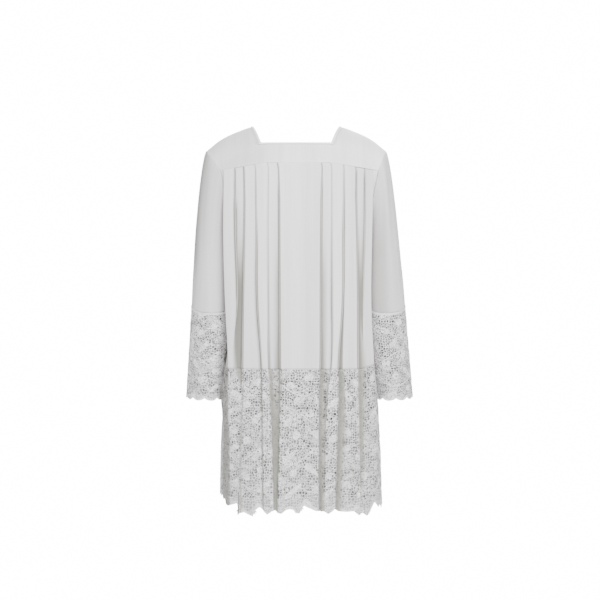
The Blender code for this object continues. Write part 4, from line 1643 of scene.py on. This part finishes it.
def add_bump(tree, shader, height, distance, strength, **normal):
    """A bump on the shader. A normal, if it is given, is that of the bump below it."""
    bump = add_node(tree, "Bump", Height=height, Distance=distance, Strength=strength, **normal)
    feed(tree, shader.inputs["Normal"], bump.outputs["Normal"])
    return bump.outputs["Normal"]


def new_group(name, inputs, outputs):
    """An empty shader node group. Returns it with what it is given and what it has to make."""
    tree = bpy.data.node_groups.new(name, "ShaderNodeTree")
    for label, value in inputs:
        kind = "Vector" if value is None else "Float"
        socket = tree.interface.new_socket(label, in_out="INPUT", socket_type=f"NodeSocket{kind}")
        if value is not None:
            socket.default_value = value
    for label in outputs:
        tree.interface.new_socket(label, in_out="OUTPUT", socket_type="NodeSocketFloat")
    return tree, tree.nodes.new("NodeGroupInput").outputs, tree.nodes.new("NodeGroupOutput").inputs


def add_group(tree, group, **values):
    """A group node with its inputs fed by name. Returns its outputs."""
    node = tree.nodes.new("ShaderNodeGroup")
    node.node_tree = group
    for label, value in values.items():
        feed(tree, node.inputs[label.replace("_", " ")], value)
    return node.outputs


@built_once("node_groups", "Crepe weave")
def weave_group(name):
    """Crepe: crossed threads, uneven twist, and faint streaks down the cloth."""
    tree, given, made = new_group(
        name, (("Place", None), ("Thread", 0.0006)), ("Height", "Streak", "Broad streak")
    )
    scale = maths(tree, "DIVIDE", 2 * math.pi, given["Thread"])
    place = vectors(tree, "SCALE", given["Place"], scale=scale)
    split = add_node(tree, "SeparateXYZ", Vector=place).outputs
    warp, weft = maths(tree, "SINE", split["X"]), maths(tree, "SINE", split["Y"])
    threads = maths(tree, "MULTIPLY", warp, weft)
    grain = noise(tree, given["Place"], 900.0)
    stretched = vectors(tree, "MULTIPLY", given["Place"], (1.0, 0.02, 1.0))
    feed(tree, made["Height"], maths(tree, "MULTIPLY_ADD", threads, 0.35, grain))
    feed(tree, made["Streak"], noise(tree, stretched, 330.0, 3.0))
    feed(tree, made["Broad streak"], noise(tree, stretched, 46.0))
    return tree


@built_once("node_groups", "Lace net")
def net_group(name):
    """Net: round openings in a staggered grid, and wide openings between twisted threads."""
    inputs = (("Place", None), ("Cell", 0.002), ("Open cell", 0.0046), ("Open", 0.0))
    tree, given, made = new_group(name, inputs, ("Thread", "Height"))
    size = given["Cell"]
    cell = add_node(tree, "CombineXYZ", X=size, Y=size, Z=size).outputs["Vector"]
    place = vectors(tree, "DIVIDE", given["Place"], cell)
    half_row = math.sqrt(3) / 2
    reach = np.array((0.5, half_row, 1.0))
    distances = []
    for shift in ((0.0, 0.0, 0.0), (0.5, half_row, 0.0)):
        moved = vectors(tree, "ADD", place, shift)
        wrapped = vectors(tree, "WRAP", moved, reach, -reach)
        level = vectors(tree, "MULTIPLY", wrapped, (1.0, 1.0, 0.0))
        distances.append(vectors(tree, "LENGTH", level))
    distance = maths(tree, "MINIMUM", *distances)
    net = soft_step(tree, distance, 0.15, 0.23)
    scale = maths(tree, "DIVIDE", 1.0, given["Open cell"])
    cells = tree.nodes.new("ShaderNodeTexVoronoi")
    cells.voronoi_dimensions = "2D"
    cells.feature = "DISTANCE_TO_EDGE"
    for label, value in (("Vector", given["Place"]), ("Scale", scale), ("Randomness", 0.75)):
        feed(tree, cells.inputs[label], value)
    web = inverse(tree, soft_step(tree, cells.outputs["Distance"], 0.07, 0.12))
    open_part = soft_step(tree, given["Open"], 0.35, 0.65)
    mixed = maths(tree, "MULTIPLY_ADD", open_part, maths(tree, "SUBTRACT", web, net), net)
    feed(tree, made["Thread"], mixed)
    feed(tree, made["Height"], maths(tree, "ADD", mixed, maths(tree, "MULTIPLY", distance, 0.4)))
    return tree


@built_once("node_groups", "Lace flecks")
def fleck_group(name):
    """Where the lace's dark flecks gather: short slanting strokes, 1 in the strokes. In the net they
    are partly open and painted dark; on the raised work they are painted shade alone.
    """
    tree, given, made = new_group(name, (("Size", 0.0030), ("Least", 0.58)), ("Fleck",))
    place = tree.nodes.new("ShaderNodeTexCoord").outputs["Object"]
    angle = maths(tree, "MULTIPLY_ADD", noise(tree, place, 22.0), 2.4, -1.7)
    bent = tree.nodes.new("ShaderNodeVectorRotate")
    bent.rotation_type = "Y_AXIS"
    feed(tree, bent.inputs["Vector"], place)
    feed(tree, bent.inputs["Angle"], angle)
    shape = vectors(tree, "MULTIPLY", bent.outputs["Vector"], (1.0, 0.6, 0.42))
    sized = vectors(tree, "SCALE", shape, scale=maths(tree, "DIVIDE", 1.0, given["Size"]))
    strokes = noise(tree, sized, 0.62, 1.0)
    above = maths(tree, "SUBTRACT", strokes, given["Least"])
    high = maths(tree, "ADD", given["Least"], 0.05)
    fleck = maths(tree, "DIVIDE", above, maths(tree, "SUBTRACT", high, given["Least"]))
    feed(tree, made["Fleck"], maths(tree, "MINIMUM", maths(tree, "MAXIMUM", fleck, 0.0), 1.0))
    return tree


@built_once("node_groups", "Satin stitch")
def satin_group(name):
    """Satin stitch: fine raised threads that slant across a petal or leaf, with a vein down it."""
    inputs = (("Place", None), ("Thread", 0.0007))
    tree, given, made = new_group(name, inputs, ("Height", "Vein"))
    split = add_node(tree, "SeparateXYZ", Vector=given["Place"]).outputs
    aside = maths(tree, "ABSOLUTE", split["Y"])
    slant = maths(tree, "MULTIPLY_ADD", aside, -1.1, split["X"])
    turns = maths(tree, "DIVIDE", slant, given["Thread"])
    feed(tree, made["Height"], maths(tree, "SINE", maths(tree, "MULTIPLY", turns, 2 * math.pi)))
    line = inverse(tree, soft_step(tree, aside, 0.0005, 0.0009))
    begin = soft_step(tree, split["X"], 0.0022, 0.0032)
    feed(tree, made["Vein"], maths(tree, "MULTIPLY", line, begin))
    return tree


def new_material(name, colour, roughness, sheen):
    material = bpy.data.materials.new(name)
    material.use_nodes = True
    tree = material.node_tree
    shader = tree.nodes["Principled BSDF"]
    shader.inputs["Base Color"].default_value = (*colour, 1.0)
    shader.inputs["Roughness"].default_value = roughness
    shader.inputs["Sheen Weight"].default_value = sheen
    shader.inputs["Sheen Roughness"].default_value = 0.6
    shader.inputs["Specular IOR Level"].default_value = 0.25
    return material, tree, shader


@built_once("materials", "white_crepe_cloth")
def crepe_material(name):
    """White crepe with a fine weave and faint streaks down its length."""
    cloth = bpy.context.scene.surplice_cloth
    material, tree, shader = new_material(name, cloth.colour, 0.78, 0.12)
    weave = add_group(tree, weave_group(), Place=uv_place(tree), Thread=cloth.thread)
    streaks = maths(tree, "MULTIPLY_ADD", weave["Broad streak"], 1.6, weave["Streak"])
    colour = mix_colours(tree, soft_step(tree, streaks, 0.85, 1.75), cloth.shade, cloth.colour)
    # Painted shade: the crepe turned towards its fold colour by each point's fold_shade.
    feed(tree, shader.inputs["Base Color"], shaded(tree, colour, cloth.fold_shade_colour))
    fine = add_bump(tree, shader, weave["Height"], 0.0001, 0.35)
    add_bump(tree, shader, weave["Streak"], 0.0006, 0.30, Normal=fine)
    return material


def finish_lace(tree, shader, colour, flecks):
    """The lace's colour with painted shade: its flecks darkened towards the inside colour, the fold
    colour between its folds, and the inside colour painted over its whole inner face."""
    lace = bpy.context.scene.surplice_lace
    colour = mix_colours(tree, maths(tree, "MULTIPLY", flecks, 0.95), colour, lace.inside)
    colour = shaded(tree, colour, lace.fold_shade_colour)
    # Painted shade on the lace's inner face.
    behind = tree.nodes.new("ShaderNodeNewGeometry").outputs["Backfacing"]
    feed(tree, shader.inputs["Base Color"], mix_colours(tree, behind, colour, lace.inside))


@built_once("materials", "white_lace_net")
def net_material(name):
    """The lace's net ground, open between its threads."""
    lace = bpy.context.scene.surplice_lace
    material, tree, shader = new_material(name, lace.colour, 0.85, 0.10)
    net = add_group(tree, net_group(), Place=uv_place(tree), Cell=lace.net_cell,
                    Open_cell=lace.open_cell, Open=attribute_value(tree, "open_ground"))
    flecks = add_group(tree, fleck_group())["Fleck"]
    closed = inverse(tree, maths(tree, "MULTIPLY", flecks, 0.8))
    thread = maths(tree, "MULTIPLY", net["Thread"], closed)
    whole = inverse(tree, soft_step(tree, attribute_value(tree, "gap"), 0.08, 0.14))
    feed(tree, shader.inputs["Alpha"], maths(tree, "MULTIPLY", thread, whole))
    # Painted shade: the net's threads turn to the groove colour towards their edges.
    edge = soft_step(tree, net["Height"], 0.45, 0.95)
    finish_lace(tree, shader, mix_colours(tree, edge, lace.groove_shade, lace.colour), flecks)
    add_bump(tree, shader, net["Height"], 0.0003, 0.3)
    return material


@built_once("materials", "white_lace_raised")
def raised_material(name):
    """The lace's flowers, leaves and cords, in satin stitch, with painted shade between its threads
    and down its veins.
    """
    lace = bpy.context.scene.surplice_lace
    material, tree, shader = new_material(name, lace.colour, 0.8, 0.15)
    satin = add_group(tree, satin_group(), Place=uv_place(tree), Thread=0.0009)
    # Painted shade in the satin: darker in the troughs between its threads, and the groove colour down
    # its veins.
    darker = [0.97 * channel for channel in lace.colour]
    colour = mix_colours(tree, soft_step(tree, satin["Height"], -1.0, 0.3), darker, lace.colour)
    colour = mix_colours(tree, satin["Vein"], colour, lace.groove_shade)
    finish_lace(tree, shader, colour, add_group(tree, fleck_group(), Least=0.59)["Fleck"])
    add_bump(tree, shader, satin["Height"], 0.0002, 0.6)
    return material


def satin_material(name, thread, roughness):
    """Binding or braid in satin stitch, with painted shade in the troughs between its threads."""
    colour = bpy.context.scene.surplice_sewing.colour
    material, tree, shader = new_material(name, colour, roughness, 0.15)
    satin = add_group(tree, satin_group(), Place=uv_place(tree), Thread=thread)
    # Painted shade: darker in the troughs between the satin's threads.
    darker = [0.86 * channel for channel in colour]
    thread_shaded = mix_colours(tree, soft_step(tree, satin["Height"], -1.0, 0.4), darker, colour)
    feed(tree, shader.inputs["Base Color"], thread_shaded)
    add_bump(tree, shader, satin["Height"], 0.0002, 0.6)
    return material


@built_once("materials", "white_binding_satin")
def binding_material(name):
    return satin_material(name, 0.0007, 0.6)


@built_once("materials", "white_braid")
def braid_material(name):
    return satin_material(name, 0.0010, 0.65)


# The operators, one for each piece or group of like pieces


class SURPLICE_OT_yokes(bpy.types.Operator):
    """Make the back and front yokes"""

    bl_idname = "surplice.yokes"
    bl_label = "Yokes"

    def execute(self, context):
        cloth = context.scene.surplice_cloth
        for side in (BACK, FRONT):
            grid = yoke_grid(side, BINDING_WIDTH / 2)
            places = np.stack([grid[..., 0], grid[..., 2] - abs(grid[..., 1])], axis=-1)
            piece = make_sheet(f"crepe_yoke_{side.name}", grid, False, cloth.thickness,
                               crepe_material(), places, yoke_shade(grid))
            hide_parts(f"yoke_{side.name}")
        return {"FINISHED"}


class SURPLICE_OT_binding(bpy.types.Operator):
    """Make the binding round the neck"""

    bl_idname = "surplice.binding"
    bl_label = "Neck binding"

    def execute(self, context):
        grid = binding_grid(context.scene.surplice_sewing.binding_rise)
        piece = make_sheet("neck_strip", grid, True, BINDING_THICKNESS, binding_material())
        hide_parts("neck_binding")
        return {"FINISHED"}


class SURPLICE_OT_bodies(bpy.types.Operator):
    """Make the pleated back and front bodies"""

    bl_idname = "surplice.bodies"
    bl_label = "Pleated bodies"

    def execute(self, context):
        cloth = context.scene.surplice_cloth
        for side in (BACK, FRONT):
            grid, shade = body_grid(side, cloth.crease)
            piece = make_sheet(f"crepe_body_{side.name}", grid, False, cloth.thickness,
                               crepe_material(), shade=shade)
            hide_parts(f"body_{side.name}")
        return {"FINISHED"}


class SURPLICE_OT_sleeves(bpy.types.Operator):
    """Make the two sleeves"""

    bl_idname = "surplice.sleeves"
    bl_label = "Sleeves"

    def execute(self, context):
        cloth = context.scene.surplice_cloth
        shares = [*np.linspace(0, 1, HEAD_ROWS + 1)[:-1], *sleeve_shares(1, 2, SLEEVE_ROW_STEP)]
        for name, hand in HANDS:
            grid = handed(sleeve_grid(shares, hand * LEAN, cloth.crease), hand)
            shade = inner_shade(SLEEVE_COLUMNS, len(shares), hand)
            piece = make_sheet(f"crepe_sleeve_{name}", grid, True, cloth.thickness,
                               crepe_material(), shade=shade)
            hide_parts(f"sleeve_{name}")
        return {"FINISHED"}


class SURPLICE_OT_hem_lace(bpy.types.Operator):
    """Make the hem lace: net ground and raised flowers, back and front"""

    bl_idname = "surplice.hem_lace"
    bl_label = "Hem lace"

    def execute(self, context):
        for number, side in enumerate((BACK, FRONT)):
            rng = np.random.default_rng(SEED + number)
            form, shade = lace_form(side)
            lay = Lay(form, False, shade)

            def edge(u, side=side, width=lay.width):
                return hem_edge(side, width, np.asarray(u))

            piece, raised = make_band(f"lace_hem_{side.name}", lay, HEM_VINES, edge, HEM_POINT, rng)
            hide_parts(f"hem_lace_{side.name}")
        return {"FINISHED"}


class SURPLICE_OT_cuff_lace(bpy.types.Operator):
    """Make the lace cuffs: net ground and raised flowers, left and right"""

    bl_idname = "surplice.cuff_lace"
    bl_label = "Lace cuffs"

    def execute(self, context):
        cuff, end = RING_SHARES[1:]
        shares = sleeve_shares(cuff, end + CUFF_OVERSHOOT, LACE_STEP)
        length = abs(SLEEVE_RINGS[-1].z - SLEEVE_RINGS[-2].z)
        for number, (name, hand) in enumerate(HANDS):
            rng = np.random.default_rng(SEED + 10 + number)
            grid = sleeve_grid(np.minimum(shares, end), hand * LEAN, 0.0, CUFF_COLUMNS)
            grid = handed(grid, hand)
            grid[:, :, 2] -= TRIM_HEIGHT + SEAM_GAP
            grid[:, :, 2] -= (np.maximum(shares - end, 0.0) * length)[:, None]
            lay = Lay(grid, True, cuff_shade(CUFF_COLUMNS, len(shares), hand))
            level = float(np.interp(end, shares, lay.below))

            def edge(u, width=lay.width, level=level):
                turn = math.pi * CUFF_SCALLOPS * np.asarray(u) / width
                return level + CUFF_SCALLOP_DROP * abs(np.sin(turn)) ** 0.6

            piece, raised = make_band(f"lace_cuff_{name}", lay, CUFF_VINES, edge, CUFF_POINT, rng)
            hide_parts(f"cuff_lace_{name}_back", f"cuff_lace_{name}_front")
        return {"FINISHED"}


class SURPLICE_OT_cuff_trims(bpy.types.Operator):
    """Make the braid over the joins of sleeves and cuffs"""

    bl_idname = "surplice.cuff_trims"
    bl_label = "Cuff braid"

    def execute(self, context):
        rise = context.scene.surplice_sewing.braid_rise
        shares = np.linspace(0, 1, 11)
        drops = (TRIM_HEIGHT + BRAID_UP + BRAID_DOWN) * shares - BRAID_UP
        bulge = BRAID_OFF + rise * np.sin(math.pi * clamp(shares / BRAID_RIDGE_SHARE)) ** 0.7
        for name, hand in HANDS:
            top = handed(sleeve_grid((RING_SHARES[1],), hand * LEAN, 0.0), hand)
            grid = np.array([top[0] - (0, 0, drop) for drop in drops])
            grid = grid + outward(grid, True) * bulge[:, None, None]
            piece = make_sheet(f"cuff_braid_{name}", grid, True, BRAID_THICKNESS,
                               braid_material())
            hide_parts(f"cuff_trim_{name}")
        return {"FINISHED"}


class SURPLICE_OT_stitching(bpy.types.Operator):
    """Sew the rows of stitches along the seams"""

    bl_idname = "surplice.stitching"
    bl_label = "Stitching"

    def execute(self, context):
        lines = []
        for side in (BACK, FRONT):
            yoke = yoke_grid(side, BINDING_WIDTH / 2)
            outer = outward(yoke, False)
            inside = slice(ARM_COLUMNS + 1, -ARM_COLUMNS - 1)
            for row in (-3, -5):
                lines.append((yoke[row, inside], outer[row, inside]))
            lines.append((yoke[1], outer[1]))
            lace, _ = lace_form(side)
            lines.append((lace[1], outward(lace, False)[1]))
        for name, hand in HANDS:
            for share in CUFF_STITCH_SHARES:
                ring = handed(sleeve_grid((share, share + 0.01), hand * LEAN, 0.0), hand)
                lines.append((ring[0], outward(ring, True)[0]))
        make_stitches("seam_stitches", lines)
        return {"FINISHED"}


class SURPLICE_OT_stage(bpy.types.Operator):
    """Set the plain floor, the soft light and the camera"""

    bl_idname = "surplice.stage"
    bl_label = "Stage"

    def execute(self, context):
        stage = context.scene.surplice_stage
        make_floor(stage)
        make_lights(stage)
        make_camera(stage)
        return {"FINISHED"}


def make_floor(stage):
    """A plain round floor under the garment, with a soft rim."""
    profile = (
        (0.0002, 0.0), (0.6, 0.0), (1.56, 0.0), (1.585, -0.004), (1.59, -0.02), (1.585, -0.036),
    )
    points, faces = ring_form(96, [(r, z + stage.floor_z) for r, z in profile])
    mesh = bpy.data.meshes.new("studio_floor")
    mesh.from_pydata(points.tolist(), [], faces[:, ::-1].tolist())
    mesh.shade_smooth()
    material, _, _ = new_material("pale_floor", stage.floor_colour, 0.9, 0.0)
    mesh.materials.append(material)
    add_object("studio_floor", mesh)


def add_area(name, turn, height, distance, size, power):
    """A round soft light that points at the garment's middle. The turn is in degrees from behind
    the garment towards the wearer's left, and the height in degrees."""
    middle = Vector((0.0, 0.0, -0.5))
    turn, height = math.radians(turn), math.radians(height)
    level = math.cos(height)
    away = Vector((math.sin(turn) * level, math.cos(turn) * level, math.sin(height)))
    light = bpy.data.lights.new(name, "AREA")
    light.shape, light.size, light.energy = "DISK", size, power
    holder = add_object(name, light)
    holder.location = middle + away * distance
    holder.rotation_euler = (-away).to_track_quat("-Z", "Y").to_euler()


def make_lights(stage):
    """A large soft light high behind the garment and one in front of it, a lesser one on each
    side, and a white backdrop. That is bright to the camera alone, so that it doesn't wash out the
    cloth."""
    world = bpy.context.scene.world or bpy.data.worlds.new("Studio")
    bpy.context.scene.world = world
    world.use_nodes = True
    tree = world.node_tree
    background = tree.nodes["Background"]
    background.inputs["Color"].default_value = (1.0, 1.0, 1.0, 1.0)
    ray = tree.nodes.new("ShaderNodeLightPath")
    direct = maths(tree, "LESS_THAN", ray.outputs["Transparent Depth"], 0.5)
    seen = maths(tree, "MULTIPLY", ray.outputs["Is Camera Ray"], direct)
    strength = maths(tree, "MULTIPLY_ADD", seen, stage.backdrop - stage.sky, stage.sky)
    tree.links.new(strength, background.inputs["Strength"])
    add_area("key_light", -8, 34, 3.6, 1.8, stage.key_power)
    add_area("front_key_light", -172, 34, 3.8, 1.8, stage.key_power)
    add_area("left_fill_light", 80, 8, 3.8, 1.6, stage.fill_power)
    add_area("right_fill_light", -80, 8, 3.8, 1.6, stage.fill_power)


def make_camera(stage):
    """The camera looks level at the garment's back, and its lens gives the scale in the picture."""
    data = bpy.data.cameras.new("camera")
    camera = add_object("camera", data)
    data.sensor_width = 36.0
    data.lens = data.sensor_width * PIXELS_PER_METRE * stage.camera_distance / PICTURE_PIXELS
    data.clip_start, data.clip_end = 0.1, 60.0
    half_pixel = 0.5 / PIXELS_PER_METRE
    camera.location = (-half_pixel, stage.camera_distance, stage.camera_z)
    camera.rotation_euler = (math.radians(90), 0, math.radians(180))
    bpy.context.scene.camera = camera


class SURPLICE_PT_pieces(bpy.types.Panel):
    """Lists the garment's pieces and their settings"""

    bl_label = "Lace Surplice"
    bl_idname = "SURPLICE_PT_pieces"
    bl_space_type = "VIEW_3D"
    bl_region_type = "UI"
    bl_category = "Surplice"

    def draw(self, context):
        layout = self.layout
        for settings in SETTINGS:
            box = layout.box()
            group = getattr(context.scene, settings)
            for label in group.bl_rna.properties.keys():
                if label not in ("rna_type", "name"):
                    box.prop(group, label)
        for operator in PIECES:
            layout.operator(operator.bl_idname)


PIECES = (
    SURPLICE_OT_yokes,
    SURPLICE_OT_binding,
    SURPLICE_OT_bodies,
    SURPLICE_OT_sleeves,
    SURPLICE_OT_hem_lace,
    SURPLICE_OT_cuff_lace,
    SURPLICE_OT_cuff_trims,
    SURPLICE_OT_stitching,
    SURPLICE_OT_stage,
)
SETTINGS = {
    "surplice_cloth": ClothSettings,
    "surplice_lace": LaceSettings,
    "surplice_sewing": SewingSettings,
    "surplice_stage": StageSettings,
}
CLASSES = (*SETTINGS.values(), *PIECES, SURPLICE_PT_pieces)


def register():
    for cls in CLASSES:
        bpy.utils.register_class(cls)
    for label, settings in SETTINGS.items():
        setattr(bpy.types.Scene, label, bpy.props.PointerProperty(type=settings))


def unregister():
    for label in SETTINGS:
        delattr(bpy.types.Scene, label)
    for cls in reversed(CLASSES):
        bpy.utils.unregister_class(cls)


def main():
    register()
    bpy.ops.surplice.yokes()
    bpy.ops.surplice.binding()
    bpy.ops.surplice.bodies()
    bpy.ops.surplice.sleeves()
    bpy.ops.surplice.hem_lace()
    bpy.ops.surplice.cuff_lace()
    bpy.ops.surplice.cuff_trims()
    bpy.ops.surplice.stitching()
    bpy.ops.surplice.stage()


if __name__ == "__main__":
    main()
